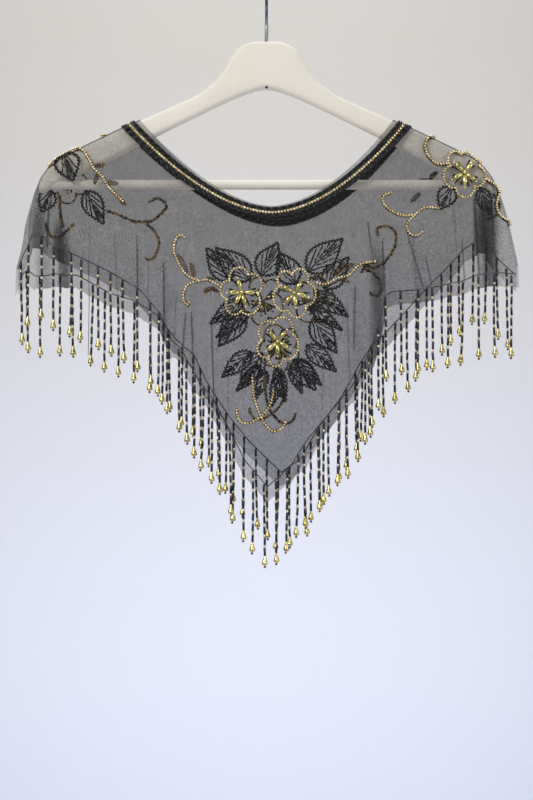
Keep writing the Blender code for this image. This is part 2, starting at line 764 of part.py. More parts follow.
def main():
    """Build the cape and its hanger."""
    clear_scene()
    parts = new_collection("beaded_net_cape")
    cutters = new_collection("cutters")
    build_hanger(parts, cutters)

    front = Panel(-1, FRONT_HEM, FRONT_FOLDS, FRONT_NET_NECK, 7 * MM)
    back = Panel(1, BACK_HEM, BACK_FOLDS, BACK_NET_NECK, 9 * MM)
    net = ("net", (0.03, 0.03, 0.035), 0.8)
    jet = ("jet_beads", (0.02, 0.02, 0.022), 0.2)
    gold = ("gold_beads", (0.75, 0.52, 0.2), 0.3, 0.8)
    build_net(parts, "net_front", front, finish(*net))
    build_net(parts, "net_back", back, finish(*net))
    build_band(parts, "neck_band_front", front, FRONT_BAND_INNER, FRONT_BAND_OUTER, finish(*jet))
    build_band(parts, "neck_band_back", back, BACK_BAND_INNER, BACK_BAND_OUTER, finish(*jet))
    build_fringe(parts, "fringe_front", front, finish(*jet))
    build_fringe(parts, "fringe_back", back, finish(*jet))
    for flower in SPRAY_FLOWERS:
        build_flower(parts, f"flower_front_{flower.name}", front, flower, finish(*gold))
        turned = back_flower(flower)
        build_flower(parts, f"flower_back_{turned.name}", back, turned, finish(*gold))
    for panel, flower in ((front, FRONT_SHOULDER_FLOWER), (back, BACK_SHOULDER_FLOWER)):
        build_flower(parts, f"flower_{flower.name}", panel, flower, finish(*gold))
    front_leaves = SPRAY_LEAVES + FRONT_SHOULDER_LEAVES
    back_leaves = [back_leaf(leaf) for leaf in SPRAY_LEAVES] + BACK_SHOULDER_LEAVES
    for panel, side_name, leaves in ((front, "front", front_leaves), (back, "back", back_leaves)):
        for number, leaf in enumerate(leaves, start=1):
            build_leaf(parts, f"leaf_{side_name}_{number}", panel, leaf, finish(*jet))


main()
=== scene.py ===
"""The looks of a beaded net cape on a clothes hanger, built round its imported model.

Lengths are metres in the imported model's frame: +X is the right of the front
view, +Y points to the back and +Z up, and the origin is the top of the inside
of the hanger's hook. Tables are in millimetres, and MM turns them into metres.
"""

import logging
import math
from dataclasses import dataclass, field
from enum import Enum
from functools import cache
from typing import Any, Iterable, NamedTuple, Sequence

import bmesh
import bpy
import numpy as np
from mathutils import Matrix, Vector


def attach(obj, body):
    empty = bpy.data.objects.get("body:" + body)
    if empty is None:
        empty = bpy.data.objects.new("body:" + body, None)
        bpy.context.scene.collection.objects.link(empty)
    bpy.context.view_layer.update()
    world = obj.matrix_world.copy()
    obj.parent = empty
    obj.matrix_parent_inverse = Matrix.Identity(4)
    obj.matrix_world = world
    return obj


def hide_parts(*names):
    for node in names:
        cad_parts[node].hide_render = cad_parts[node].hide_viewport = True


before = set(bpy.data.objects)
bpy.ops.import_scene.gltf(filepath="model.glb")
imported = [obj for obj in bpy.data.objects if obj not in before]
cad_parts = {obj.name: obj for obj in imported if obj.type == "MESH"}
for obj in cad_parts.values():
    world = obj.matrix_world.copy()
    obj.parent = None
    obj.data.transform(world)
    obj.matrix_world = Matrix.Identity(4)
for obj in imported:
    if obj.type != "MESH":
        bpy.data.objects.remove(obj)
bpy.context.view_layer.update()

MM = 0.001
ROOT = "root"
log = logging.getLogger("cape")

# A colour as red, green and blue, or a place or a scale along X, Y and Z.
Triple = tuple[float, float, float]


class Side(Enum):
    """A hanging side of the cape, by the sign of its Y."""

    FRONT = -1
    BACK = 1

    @property
    def word(self) -> str:
        """The side's name in the names of pieces."""
        return self.name.lower()

    @property
    def other(self) -> "Side":
        """The opposite side."""
        return Side(-self.value)


class Slot(Enum):
    """The record's material slots."""

    NET = "net"
    JET = "jet_beads"
    GOLD = "gold_beads"
    WOOD = "cream_paint"
    BAR = "bar_paint"
    WIRE = "chrome_wire"


class Point(NamedTuple):
    """A point of the front view, in millimetres."""

    x: float
    z: float


class Fold(NamedTuple):
    """A soft fold that widens down to the hem; layers is how many thicknesses of net it gathers."""

    x_top: float
    x_hem: float
    half_width: float
    depth: float
    z_start: float
    z_full: float
    layers: float


class Crease(NamedTuple):
    """A fine pinch line of the net, from its top to its lower end."""

    x_top: float
    z_top: float
    x_low: float
    z_low: float
    half_width: float
    depth: float
    layers: float


class NeckLine(NamedTuple):
    """A U whose height follows a power of its width, with its bottom leaning sideways."""

    half_width: float
    z_ends: float
    z_bottom: float
    lean: float


class Ripple(NamedTuple):
    """A wave along the hem: its height, its turns in radians for a metre, and where it starts."""

    height: float
    rate: float
    start: float


class Flower(NamedTuple):
    """A sewn flower: its node, its centre, and the angles of its petals and of its ring's notches."""

    node: str
    x: float
    z: float
    petals: tuple[float, ...]
    notches: tuple[float, ...]


class Leaf(NamedTuple):
    """A leaf of bugle beads, from its base to its tip."""

    base_x: float
    base_z: float
    tip_x: float
    tip_z: float
    half_width: float


class Bud(NamedTuple):
    """A small closed loop of seed beads beside a scroll."""

    x: float
    z: float
    angle: float
    length: float


def points(*rows: tuple[float, float]) -> tuple[Point, ...]:
    """Return table rows as points."""
    return tuple(Point(*row) for row in rows)


HANGER_TOP = points(
    (0, -60), (15, -60.5), (26, -67), (35, -78), (42, -89), (50, -97.5), (60, -106),
    (73, -114), (140, -143), (182, -163), (202, -173), (213, -182), (220.5, -192),
)
BOARD_HALF = points(
    (0, -57.9), (13, -58.4), (22.4, -61.5), (29.8, -66.8), (35.7, -74.5), (40.6, -82.8), (46, -91),
    (52.8, -98.9), (61.5, -105.8), (73, -113), (106, -127.8), (140, -143), (161, -152.6), (182, -163),
    (202, -173), (213, -181.5), (220.5, -191), (224, -199.5), (223.8, -204.5), (221.4, -206.8),
    (216, -204.8), (207, -199), (196, -193.8), (187, -190.2), (167, -181.3), (131, -162.5), (92, -143),
    (52, -123.5), (30, -113.4), (14, -107.6), (4, -105), (0, -104.6),
)
HANGER_END_X = 227
CORNER_FOLD_LEFT = points(
    (-246, -280), (-241, -262), (-238.7, -250), (-237, -238), (-234.6, -228),
    (-230.6, -215.6), (-227.6, -206),
)
CORNER_FOLD_RIGHT = points(
    (228.5, -206), (232.8, -217), (237.7, -234), (242.6, -255), (246, -270), (247.5, -278),
)
FRONT_HEM = points(
    (-246, -289), (-237.5, -268), (-227, -251), (-218, -251), (-210, -259),
    (-186, -269.5), (-156, -284), (-126, -301), (-103, -326), (-92, -353), (-82, -361.5),
    (-69, -387), (-53, -408), (-38.6, -435), (-20.6, -470), (1, -495), (23, -475.5),
    (39, -450), (62, -422.5), (83, -397), (103, -358), (115, -309.5), (123, -305),
    (152, -303), (190, -295), (204, -289), (227, -286.5), (247.5, -287.5),
)
BACK_HEM = points(
    (-246, -291), (-237.5, -281), (-230.6, -287), (-212, -284.6), (-189, -286),
    (-158, -303), (-133, -311), (-107, -327), (-92.5, -348.5), (-71.5, -366.5),
    (-61, -391), (-37.7, -426.5), (-17.6, -451.5), (14.7, -483), (36, -467.5),
    (51, -439), (73.5, -409.6), (104, -357), (121.5, -341.5), (152, -307.5),
    (183, -275.5), (197, -260), (212, -250.5), (220, -250.5), (229, -268.5), (247.5, -288),
)
FRONT_FOLDS = tuple(Fold(*row) for row in (
    (-221, -224, 10, 11, -196, -250, 2.4),
    (-202, -203, 8, 6, -225, -262, 3.8),
    (-126, -127, 9, 5, -235, -290, 1.1),
    (-101, -102, 9, 7, -250, -320, 1.1),
    (-74, -76, 10, 6, -300, -350, 1.0),
    (-52, -54, 10, 6, -330, -405, 1.0),
    (83, 84, 10, 6, -300, -355, 1.1),
    (105, 108, 10, 11, -240, -300, 2.7),
    (138, 151, 10, 7, -235, -300, 1.2),
    (176, 180, 12, 5, -240, -290, 1.1),
    (213, 216, 13, 6, -198, -240, 3.0),
))
BACK_FOLDS = tuple(Fold(*row) for row in (
    (-220, -222, 11, 6, -205, -260, 1.4),
    (-203, -202, 9, 6, -225, -270, 3.2),
    (-150, -150, 13, 6, -235, -300, 1.0),
    (-97, -97, 10, 7, -260, -330, 1.1),
    (-62, -66, 10, 6, -320, -380, 1.0),
    (44, 46, 11, 5, -390, -450, 1.0),
    (90, 97, 10, 7, -280, -350, 1.1),
    (125, 130, 11, 8, -255, -330, 1.2),
    (165, 170, 11, 6, -225, -285, 1.1),
    (213, 216, 13, 11, -196, -240, 3.0),
))
FRONT_CREASES = tuple(Crease(*row) for row in (
    (-126, -246, -125, -302, 1.6, 1.0, 1.7),
    (-100, -268, -99, -345, 1.7, 1.2, 1.7),
    (-78, -322, -81, -358, 1.6, 1.0, 1.6),
    (-73, -320, -71.5, -367, 1.6, 1.0, 1.6),
    (-54, -322, -51, -411, 1.6, 1.0, 1.6),
    (86.5, -291, 84.5, -362, 1.7, 1.1, 1.6),
    (98, -234, 103, -269, 1.5, 0.9, 1.6),
    (112.8, -249, 114, -308, 1.8, 1.2, 1.8),
    (136, -244, 152, -303, 1.7, 1.1, 1.6),
    (154, -268, 161, -299, 1.5, 0.9, 1.5),
    (-212, -212, -214, -262, 2.2, 1.4, 1.7),
    (-230, -220, -232, -262, 2.2, 1.4, 1.6),
    (202, -205, 207, -288, 2.4, 1.4, 1.7),
    (190, -250, 193, -296, 1.8, 1.0, 1.4),
    (211, -206, 213, -286, 1.6, 0.8, 1.8),
    (219, -206, 222, -272, 1.6, 0.8, 1.8),
))
BACK_CREASES = tuple(Crease(*row) for row in (
    (-205, -215, -207, -285, 2.2, 1.4, 1.7),
    (-176, -240, -178, -292, 1.6, 0.9, 1.5),
    (-152, -236, -150, -306, 1.8, 1.1, 1.6),
    (-117, -262, -119, -318, 1.6, 1.0, 1.6),
    (-90, -300, -93, -350, 1.6, 1.0, 1.6),
    (-37, -365, -39, -424, 1.5, 0.9, 1.5),
    (58, -350, 55, -432, 1.6, 1.0, 1.5),
    (80, -300, 83, -392, 1.6, 1.0, 1.6),
    (117, -256, 121, -340, 1.8, 1.2, 1.7),
    (146, -240, 150, -309, 1.6, 1.0, 1.6),
    (186, -212, 190, -266, 1.8, 1.1, 1.6),
    (207, -196, 209, -252, 2.4, 1.5, 1.8),
    (222, -205, 226, -262, 2.4, 1.5, 1.8),
))
FRONT_NET_NECK = NeckLine(124.5, -136, -221.4, 5)
BACK_NET_NECK = NeckLine(124.5, -136, -225, 11)
FRONT_BAND_GOLD = NeckLine(135.4, -140.6, -228.2, 5)
BACK_BAND_GOLD = NeckLine(135.4, -140.6, -231.4, 11)
FRONT_BAND_EDGES = (NeckLine(129.6, -138.2, -223.6, 5), NeckLine(141, -143.3, -232.6, 5))
BACK_BAND_EDGES = (NeckLine(129.6, -138.2, -226.8, 11), NeckLine(141, -143.3, -236.2, 11))

# The flower spray on the front, mirrored on the back, and the flowers at the shoulders
SPRAY_MIRROR_X = 11.7
BACK_SPRAY_DROP = 5
SPRAY_FLOWERS = tuple(Flower(*row) for row in (
    ("left", -24, -305.8, (107, 182, 240, 285, 358), (66, 141, 203, 267, 355)),
    ("right", 26.9, -306.4, (56, 150, 228, 277, 343), (32, 98, 160, 249, 317)),
    ("low", 10.8, -353.6, (51, 130, 221, 270, 329), (23, 106, 176, 236, 291)),
))
SHOULDER_FLOWERS = {
    Side.FRONT: Flower("shoulder_right", 193.4, -188.6, (51, 137, 210, 270, 323), (20, 100, 158, 235, 310)),
    Side.BACK: Flower("shoulder_left", -198, -190.5, (45, 124, 203, 270, 331), (12, 88, 161, 232, 305)),
}
SPRAY_LEAVES = tuple(Leaf(*row) for row in (
    (-34.5, -293.5, -58.8, -262.6, 11), (-4.9, -289.1, 11.3, -257.2, 12),
    (40.2, -285.2, 74.5, -253.2, 13), (-22.5, -325.4, -47, -358.7, 11),
    (48, -306.2, 80, -329.5, 8), (41.6, -318.3, 74, -343, 5.5),
    (-3.9, -365.5, -25.9, -396.2, 10), (39.2, -357.7, 68.3, -383.1, 8.5),
    (29.4, -371.4, 53.5, -396.5, 6), (23.5, -377.3, 34.6, -404.4, 5), (9.8, -379.3, 18.4, -412.4, 6),
))
SHOULDER_LEAVES = {
    Side.FRONT: tuple(Leaf(*row) for row in (
        (-199, -168, -188.7, -197, 12), (180.5, -203, 168.6, -225.4, 9), (209, -204, 217, -231, 7),
    )),
    Side.BACK: tuple(Leaf(*row) for row in (
        (-180, -203, -162.3, -235.3, 10), (-214, -203, -224, -224, 8),
    )),
}
SPRAY_SCROLLS = {
    Side.FRONT: (
        points((-44, -301), (-56, -294), (-67, -295), (-77, -299), (-81, -310), (-77, -318), (-74, -315)),
        points((-66, -294), (-76, -290), (-83, -282), (-90, -266), (-88, -254), (-83, -250), (-79, -253)),
        points((48, -296), (57, -298), (69, -292), (80, -289), (88, -281), (96, -277), (107, -277)),
        points((-14, -388), (-12, -408), (-6, -425), (0, -436), (7, -441), (15, -438), (19, -431)),
        points((7, -401), (4, -414), (-4, -425), (-14, -432), (-23, -433), (-28, -427), (-29, -419)),
    ),
    Side.BACK: (
        points((-1.6, -386), (-1.2, -400), (1.5, -416), (8, -427), (17, -434), (26, -431), (29, -423)),
        points((19, -400), (16, -412), (9, -421), (-1, -428), (-10, -430), (-16, -424), (-17, -418)),
        points((61.5, -298), (59, -304), (58, -311), (63, -317)),
        points((118, -273), (108, -279), (100, -277), (94, -284)),
        points((96, -276), (106, -284), (113, -292), (114.5, -300), (110, -307), (103, -304)),
        points((-46, -303), (-55, -300), (-62, -304)),
    ),
}
SHOULDER_SCROLLS = {
    Side.FRONT: (
        points((-214, -179), (-200, -169), (-188, -163), (-180, -166), (-173, -176), (-169, -184),
               (-160, -193), (-154, -203), (-143, -214), (-139, -218)),
        points((180, -179), (167, -180), (158, -172), (155, -162), (159, -153), (166, -148)),
        points((214, -194), (227, -204), (226, -213), (224, -222), (229, -231), (239, -236)),
        points((169, -224), (155, -223), (146, -229), (137, -239), (138, -247), (145, -251), (153, -246)),
        points((143, -230), (133, -231), (121, -226), (114, -219), (114, -212), (123, -208)),
    ),
    Side.BACK: (
        points((-160, -222), (-150, -225), (-134, -232), (-122.6, -233), (-114.5, -232), (-104.7, -224.5),
               (-99.8, -217.5), (-103.9, -211.5), (-111, -210), (-117, -214)),
        points((-121, -234), (-111.5, -243), (-107.3, -253), (-109.5, -264), (-114.5, -270), (-121, -269.5)),
        points((-205.5, -207), (-205.8, -218), (-204.6, -230), (-203, -239)),
        points((-191, -234), (-199, -241.5), (-207, -248), (-213.6, -247.5), (-219, -240.5), (-220, -233)),
        points((-169, -170), (-160, -158), (-158, -149), (-162, -143)),
        points((170, -184), (163.5, -190.5), (152, -192)),
        points((111.7, -247.5), (110.4, -240.5), (118, -237), (126.3, -240.2), (129.5, -250), (126.3, -261.5),
               (118, -273)),
        points((225, -206), (231, -216), (229, -226), (221, -231)),
    ),
}
SPRAY_BUDS = {
    Side.FRONT: (Bud(62, -288, 23, 25), Bud(74, -293, -25, 7), Bud(-61, -303.6, 8, 11),
                 Bud(-86.6, -269, -62, 20), Bud(-73, -277.5, -80, 14)),
    Side.BACK: (Bud(100, -272, -85, 11), Bud(-52, -291, 165, 8), Bud(46, -290, 15, 9)),
}
SHOULDER_BUDS = {
    Side.FRONT: (Bud(-167.5, -182, 5, 9.5), Bud(-165, -190, 255, 10.5), Bud(-157, -198, -8, 12),
                 Bud(-143.5, -214.5, -45, 9)),
    Side.BACK: (Bud(153, -204.5, 225, 12), Bud(163, -188, 30, 8)),
}


def mirrored(place: Point) -> Point:
    """Return a point of the front spray as it lies on the back.

    Args:
        place: the point on the front.

    Returns:
        The point mirrored across the spray and a little lower.
    """
    return Point(2 * SPRAY_MIRROR_X - place.x, place.z - BACK_SPRAY_DROP)


def mirrored_leaf(leaf: Leaf) -> Leaf:
    """Return a leaf of the front spray as it lies on the back.

    Args:
        leaf: the leaf on the front.

    Returns:
        The leaf on the back.
    """
    base = mirrored(Point(leaf.base_x, leaf.base_z))
    tip = mirrored(Point(leaf.tip_x, leaf.tip_z))
    return Leaf(*base, *tip, leaf.half_width)


def mirrored_flower(flower: Flower) -> Flower:
    """Return a flower of the front spray as it lies on the back.

    Args:
        flower: the flower on the front.

    Returns:
        The flower on the back, where left and right have changed places.
    """
    name = {"left": "right", "right": "left"}.get(flower.node, flower.node)
    centre = mirrored(Point(flower.x, flower.z))
    petals = tuple(180 - angle for angle in flower.petals)
    notches = tuple(180 - angle for angle in flower.notches)
    return Flower(name, *centre, petals, notches)


def raised(rows: Sequence[Point], clearance: float) -> list[Point]:
    """Move an outline out of itself.

    Args:
        rows: the outline's points, in millimetres.
        clearance: how far it moves, in millimetres.

    Returns:
        The moved points.
    """
    moved = []
    for index, row in enumerate(rows):
        before = rows[max(index - 1, 0)]
        after = rows[min(index + 1, len(rows) - 1)]
        along = Vector((after.x - before.x, after.z - before.z)).normalized()
        moved.append(Point(row.x - along.y * clearance, row.z + along.x * clearance))
    return moved


def smoothed(share: np.ndarray) -> np.ndarray:
    """Ease a share in and out between 0 and 1."""
    held = np.clip(share, 0, 1)
    return held * held * (3 - 2 * held)


def hump(across: np.ndarray) -> np.ndarray:
    """A soft hump of height 1 that ends at -1 and 1."""
    return np.where(np.abs(across) < 1, np.cos(np.pi * np.clip(across, -1, 1) / 2) ** 2, 0.0)


@dataclass
class Shoulder:
    """The fold line of the net, over the hanger and down its corners."""

    clearance: float = 1.6
    wrap_rise: float = 5 * MM
    wrap_depth: float = 7.4 * MM
    corner_depth: float = 4 * MM
    line_x: np.ndarray = field(init=False)
    line_z: np.ndarray = field(init=False)

    def __post_init__(self) -> None:
        """Work out the line from the hanger's outline."""
        right = raised(HANGER_TOP, self.clearance)
        left = [Point(-row.x, row.z) for row in reversed(right)]
        rows = [*CORNER_FOLD_LEFT, *left[:-1], *right[1:], *CORNER_FOLD_RIGHT]
        self.line_x = np.array([row.x for row in rows]) * MM
        self.line_z = np.array([row.z for row in rows]) * MM

    def z(self, x: np.ndarray) -> np.ndarray:
        """Height of the fold line."""
        return np.interp(x, self.line_x, self.line_z)

    def half_depth(self, x: np.ndarray) -> np.ndarray:
        """Half depth of the net where it turns over the fold line."""
        corner = max(self.line_x[-1], -self.line_x[0])
        return np.interp(np.abs(x), (HANGER_END_X * MM, corner), (self.wrap_depth, self.corner_depth))

    def wrap_length(self) -> float:
        """Length of cloth from the fold line to where it hangs."""
        return math.pi / 2 * math.hypot(self.wrap_rise, self.wrap_depth) / math.sqrt(2)


@dataclass
class Hanging:
    """One hanging side of the net, as a height field on the hanger's middle plane."""

    side: Side
    shoulder: Shoulder
    hem: tuple[Point, ...]
    folds: tuple[Fold, ...]
    creases: tuple[Crease, ...]
    neck: NeckLine
    fullness: float
    hang_length: float = 60 * MM
    neck_power: float = 1.77
    crease_ends: float = 0.18
    crease_weight: float = 4.6
    crease_power: float = 3.2
    crease_run_out: float = 1.12
    fold_weight: float = 1.4
    fold_power: float = 1.3
    slope_weight: float = 0.22
    slope_most: float = 2.4
    corner_start: float = 224 * MM
    corner_run: float = 9 * MM
    corner_ease: float = 0.42

    def thread_z(self, x: np.ndarray) -> np.ndarray:
        """Height of the hem thread."""
        rows = np.array(self.hem) * MM
        return np.interp(x, rows[:, 0], rows[:, 1])

    def neck_z(self, line: NeckLine, x: np.ndarray) -> np.ndarray:
        """Height of a neck line.

        Args:
            line: the neck line's sizes.
            x: places across.

        Returns:
            The heights.
        """
        half = line.half_width * MM
        share = np.minimum(np.abs(x) / half, 1)
        lean = line.lean * MM * (1 - share * share)
        across = np.minimum(np.abs(x - lean) / half, 1)
        return (line.z_bottom + (line.z_ends - line.z_bottom) * across ** self.neck_power) * MM

    def fold_share(self, fold: Fold, x: np.ndarray, z: np.ndarray) -> np.ndarray:
        """Find how much of one fold there is at points of the net.

        Args:
            fold: the fold.
            x: places across.
            z: heights.

        Returns:
            The shares, from 0 to 1.
        """
        share = np.clip((fold.z_start * MM - z) / ((fold.z_start - fold.z_full) * MM), 0, 1)
        centre = (fold.x_top + (fold.x_hem - fold.x_top) * share) * MM
        return smoothed(share) * hump((x - centre) / (fold.half_width * MM))

    def crease_share(self, crease: Crease, x: np.ndarray, z: np.ndarray) -> np.ndarray:
        """Find how much of one crease there is at points of the net.

        Args:
            crease: the crease.
            x: places across.
            z: heights.

        Returns:
            The shares, from 0 to 1.
        """
        share = (crease.z_top * MM - z) / ((crease.z_top - crease.z_low) * MM)
        ends = smoothed(share / self.crease_ends) * smoothed((self.crease_run_out - share) / self.crease_ends)
        centre = (crease.x_top + (crease.x_low - crease.x_top) * np.clip(share, 0, 1.2)) * MM
        return ends * hump((x - centre) / (crease.half_width * MM))

    def stand_off(self, x: np.ndarray, z: np.ndarray) -> np.ndarray:
        """Distance of the net from the hanger's middle plane.

        Args:
            x: places across.
            z: heights.

        Returns:
            The distances.
        """
        drop = np.maximum(self.shoulder.z(x) - z, 0)
        turn = 1 - np.minimum(drop / self.shoulder.wrap_rise, 1)
        out = self.shoulder.half_depth(x) * np.sqrt(1 - turn * turn)
        out = out + self.fullness * (1 - np.exp(-drop / self.hang_length))
        for fold in self.folds:
            out = out + fold.depth * MM * self.fold_share(fold, x, z)
        for crease in self.creases:
            out = out + crease.depth * MM * self.crease_share(crease, x, z)
        return out

    def layers(self, x: np.ndarray, z: np.ndarray) -> np.ndarray:
        """How many thicknesses of net lie at points, for folds, creases and slopes.

        Args:
            x: places across.
            z: heights.

        Returns:
            The numbers of thicknesses, 1 where the net is plain.
        """
        step = 0.5 * MM
        slope_x = (self.stand_off(x + step, z) - self.stand_off(x - step, z)) / (2 * step)
        slope_z = (self.stand_off(x, z + step) - self.stand_off(x, z - step)) / (2 * step)
        longer = np.minimum(np.sqrt(1 + slope_x ** 2 + slope_z ** 2), self.slope_most)
        count = 1 + (longer - 1) * self.slope_weight
        for fold in self.folds:
            share = self.fold_share(fold, x, z) ** self.fold_power
            count = count + (fold.layers - 1) * self.fold_weight * share
        for crease in self.creases:
            share = self.crease_share(crease, x, z) ** self.crease_power
            count = count + (crease.layers - 1) * self.crease_weight * share
        return count * (1 - self.corner_ease * smoothed((np.abs(x) - self.corner_start) / self.corner_run))

    def lie(self, x: np.ndarray, z: np.ndarray) -> np.ndarray:
        """Points of the net at places across and heights."""
        return np.stack([x, self.side.value * self.stand_off(x, z), z], axis=-1)

    def outward(self, x: np.ndarray, z: np.ndarray) -> np.ndarray:
        """Find which way the net faces.

        Args:
            x: places across.
            z: heights.

        Returns:
            The outward directions there.
        """
        step = 0.4 * MM
        below = self.lie(x, z - step) - self.lie(x, z)
        across = self.lie(x + step, z - step) - self.lie(x - step, z - step)
        normal = np.cross(below, across) * -self.side.value
        normal = normal / np.linalg.norm(normal, axis=-1, keepdims=True)
        return normal * np.where(normal[..., 1:2] * self.side.value < 0, -1, 1)


@dataclass
class Cloth:
    """The whole net: both hanging sides, joined at the fold line."""

    shoulder: Shoulder = field(default_factory=Shoulder)
    front_fullness: float = 7 * MM
    back_fullness: float = 9 * MM
    back_crease_weight: float = 1.3
    sides: dict[Side, Hanging] = field(init=False)

    def __post_init__(self) -> None:
        """Hang the two sides from the fold line."""
        front = Hanging(Side.FRONT, self.shoulder, FRONT_HEM, FRONT_FOLDS, FRONT_CREASES, FRONT_NET_NECK,
                        self.front_fullness)
        back = Hanging(Side.BACK, self.shoulder, BACK_HEM, BACK_FOLDS, BACK_CREASES, BACK_NET_NECK,
                       self.back_fullness, crease_weight=self.back_crease_weight)
        self.sides = {Side.FRONT: front, Side.BACK: back}

    def place(self, side: Side, x: np.ndarray, z: np.ndarray) -> tuple[np.ndarray, np.ndarray]:
        """Find points on the cloth, which is followed over the fold line.

        Args:
            side: the side that the heights are on.
            x: places across.
            z: heights, which above the fold line run on down the other side.

        Returns:
            The points and the outward directions there.
        """
        wrap = self.shoulder.wrap_length()
        rise = self.shoulder.wrap_rise
        along = self.shoulder.z(x) - z + (wrap - rise)
        length = np.abs(along)
        turned = rise * (1 - np.cos(math.pi / 2 * np.minimum(length / wrap, 1)))
        drop = turned + np.maximum(length - wrap, 0)
        height = self.shoulder.z(x) - drop
        near, far = self.sides[side], self.sides[side.other]
        beyond = (along < 0)[..., None]
        spots = np.where(beyond, far.lie(x, height), near.lie(x, height))
        facing = np.where(beyond, far.outward(x, height), near.outward(x, height))
        return spots, facing


class Wire:
    """A number that flows out of a node. Arithmetic on it adds Math nodes."""

    def __init__(self, graph: "Graph", socket: bpy.types.NodeSocket) -> None:
        """Wrap a socket of a graph."""
        self.graph = graph
        self.socket = socket

    def maths(self, operation: str, *terms: "Wire | float") -> "Wire":
        """Add a Math node.

        Args:
            operation: the node's operation.
            terms: its inputs, in order.

        Returns:
            The node's result.
        """
        made = self.graph.node("ShaderNodeMath", {"operation": operation}, dict(enumerate(terms)))
        return Wire(self.graph, made.outputs[0])

    def __add__(self, other: "Wire | float") -> "Wire":
        """Sum."""
        return self.maths("ADD", self, other)

    def __radd__(self, other: float) -> "Wire":
        """Sum, from the right."""
        return self.maths("ADD", other, self)

    def __sub__(self, other: "Wire | float") -> "Wire":
        """Difference."""
        return self.maths("SUBTRACT", self, other)

    def __rsub__(self, other: float) -> "Wire":
        """Difference, from the right."""
        return self.maths("SUBTRACT", other, self)

    def __mul__(self, other: "Wire | float") -> "Wire":
        """Product."""
        return self.maths("MULTIPLY", self, other)

    def __rmul__(self, other: float) -> "Wire":
        """Product, from the right."""
        return self.maths("MULTIPLY", other, self)

    def __pow__(self, other: "Wire | float") -> "Wire":
        """Power."""
        return self.maths("POWER", self, other)

    def cosine(self) -> "Wire":
        """Cosine of an angle in radians."""
        return self.maths("COSINE", self)

    def between(self, low: float, high: float) -> "Wire":
        """Ease the number from 0 to 1.

        Args:
            low: where it is 0.
            high: where it is 1.

        Returns:
            The eased number.
        """
        settings = {"interpolation_type": "SMOOTHSTEP"}
        inputs = {"Value": self, "From Min": low, "From Max": high}
        return Wire(self.graph, self.graph.node("ShaderNodeMapRange", settings, inputs).outputs[0])


class Graph:
    """The node tree of one finish, round its Principled shader."""

    def __init__(self, name: str) -> None:
        """Start a material's node tree.

        Args:
            name: the material's name.
        """
        self.material = bpy.data.materials.new(name)
        self.material.use_nodes = True
        self.tree = self.material.node_tree
        self.shader = self.tree.nodes["Principled BSDF"]

    def feed(self, socket: bpy.types.NodeSocket, value: Any) -> None:
        """Give a socket a link or a value.

        Args:
            socket: the input.
            value: a Wire or another node's output to link, or the value itself.
        """
        if isinstance(value, Wire):
            value = value.socket
        if isinstance(value, bpy.types.NodeSocket):
            self.tree.links.new(value, socket)
        else:
            socket.default_value = value

    def node(self, kind: str, settings: dict[str, Any] | None = None,
             inputs: dict[int | str, Any] | None = None) -> bpy.types.Node:
        """Add a node.

        Args:
            kind: the node's type.
            settings: its own settings, set first.
            inputs: the values or links of its sockets.

        Returns:
            The node.
        """
        made = self.tree.nodes.new(kind)
        for name, value in (settings or {}).items():
            setattr(made, name, value)
        for name, value in (inputs or {}).items():
            self.feed(made.inputs[name], value)
        return made

    def dress(self, **inputs: Any) -> bpy.types.Material:
        """Feed the Principled shader.

        Args:
            inputs: values or links by socket name, with underscores for spaces.

        Returns:
            The material.
        """
        for name, value in inputs.items():
            self.feed(self.shader.inputs[name.replace("_", " ")], value)
        return self.material

    def number(self, name: str) -> Wire:
        """Read a number that a mesh keeps at its points."""
        return Wire(self, self.node("ShaderNodeAttribute", {"attribute_name": name}).outputs["Fac"])

    def place(self) -> bpy.types.NodeSocket:
        """The place of the shaded point in the object's own frame."""
        return self.node("ShaderNodeTexCoord").outputs["Object"]

    def noise(self, scale: float, detail: float = 2, vector: Any = None) -> Wire:
        """Add a cloudy noise.

        Args:
            scale: how many clouds there are in a metre.
            detail: how many finer clouds are added.
            vector: where it is read, if not at the object's own place.

        Returns:
            The noise, about 0 to 1.
        """
        inputs = {"Vector": self.place() if vector is None else vector, "Scale": scale, "Detail": detail}
        return Wire(self, self.node("ShaderNodeTexNoise", None, inputs).outputs[0])

    def stretched(self, scale: Triple) -> bpy.types.NodeSocket:
        """The place of the shaded point, scaled along each axis."""
        inputs = {0: self.place(), 1: scale}
        return self.node("ShaderNodeVectorMath", {"operation": "MULTIPLY"}, inputs).outputs[0]

    def blend(self, factor: Wire, first: Any, second: Any) -> bpy.types.NodeSocket:
        """Mix two colours.

        Args:
            factor: 0 for the first and 1 for the second.
            first: a colour or a link.
            second: a colour or a link.

        Returns:
            The mixed colour.
        """
        inputs = {0: factor}
        for index, colour in ((6, first), (7, second)):
            inputs[index] = (*colour, 1) if isinstance(colour, tuple) else colour
        return self.node("ShaderNodeMix", {"data_type": "RGBA"}, inputs).outputs[2]

    def bump(self, height: Wire, distance: float, strength: float = 1.0) -> bpy.types.NodeSocket:
        """Turn heights into a shading normal.

        Args:
            height: the heights, about 0 to 1.
            distance: how high 1 is, in metres.
            strength: how much of it shows.

        Returns:
            The normal.
        """
        inputs = {"Height": height, "Distance": distance, "Strength": strength}
        return self.node("ShaderNodeBump", None, inputs).outputs[0]


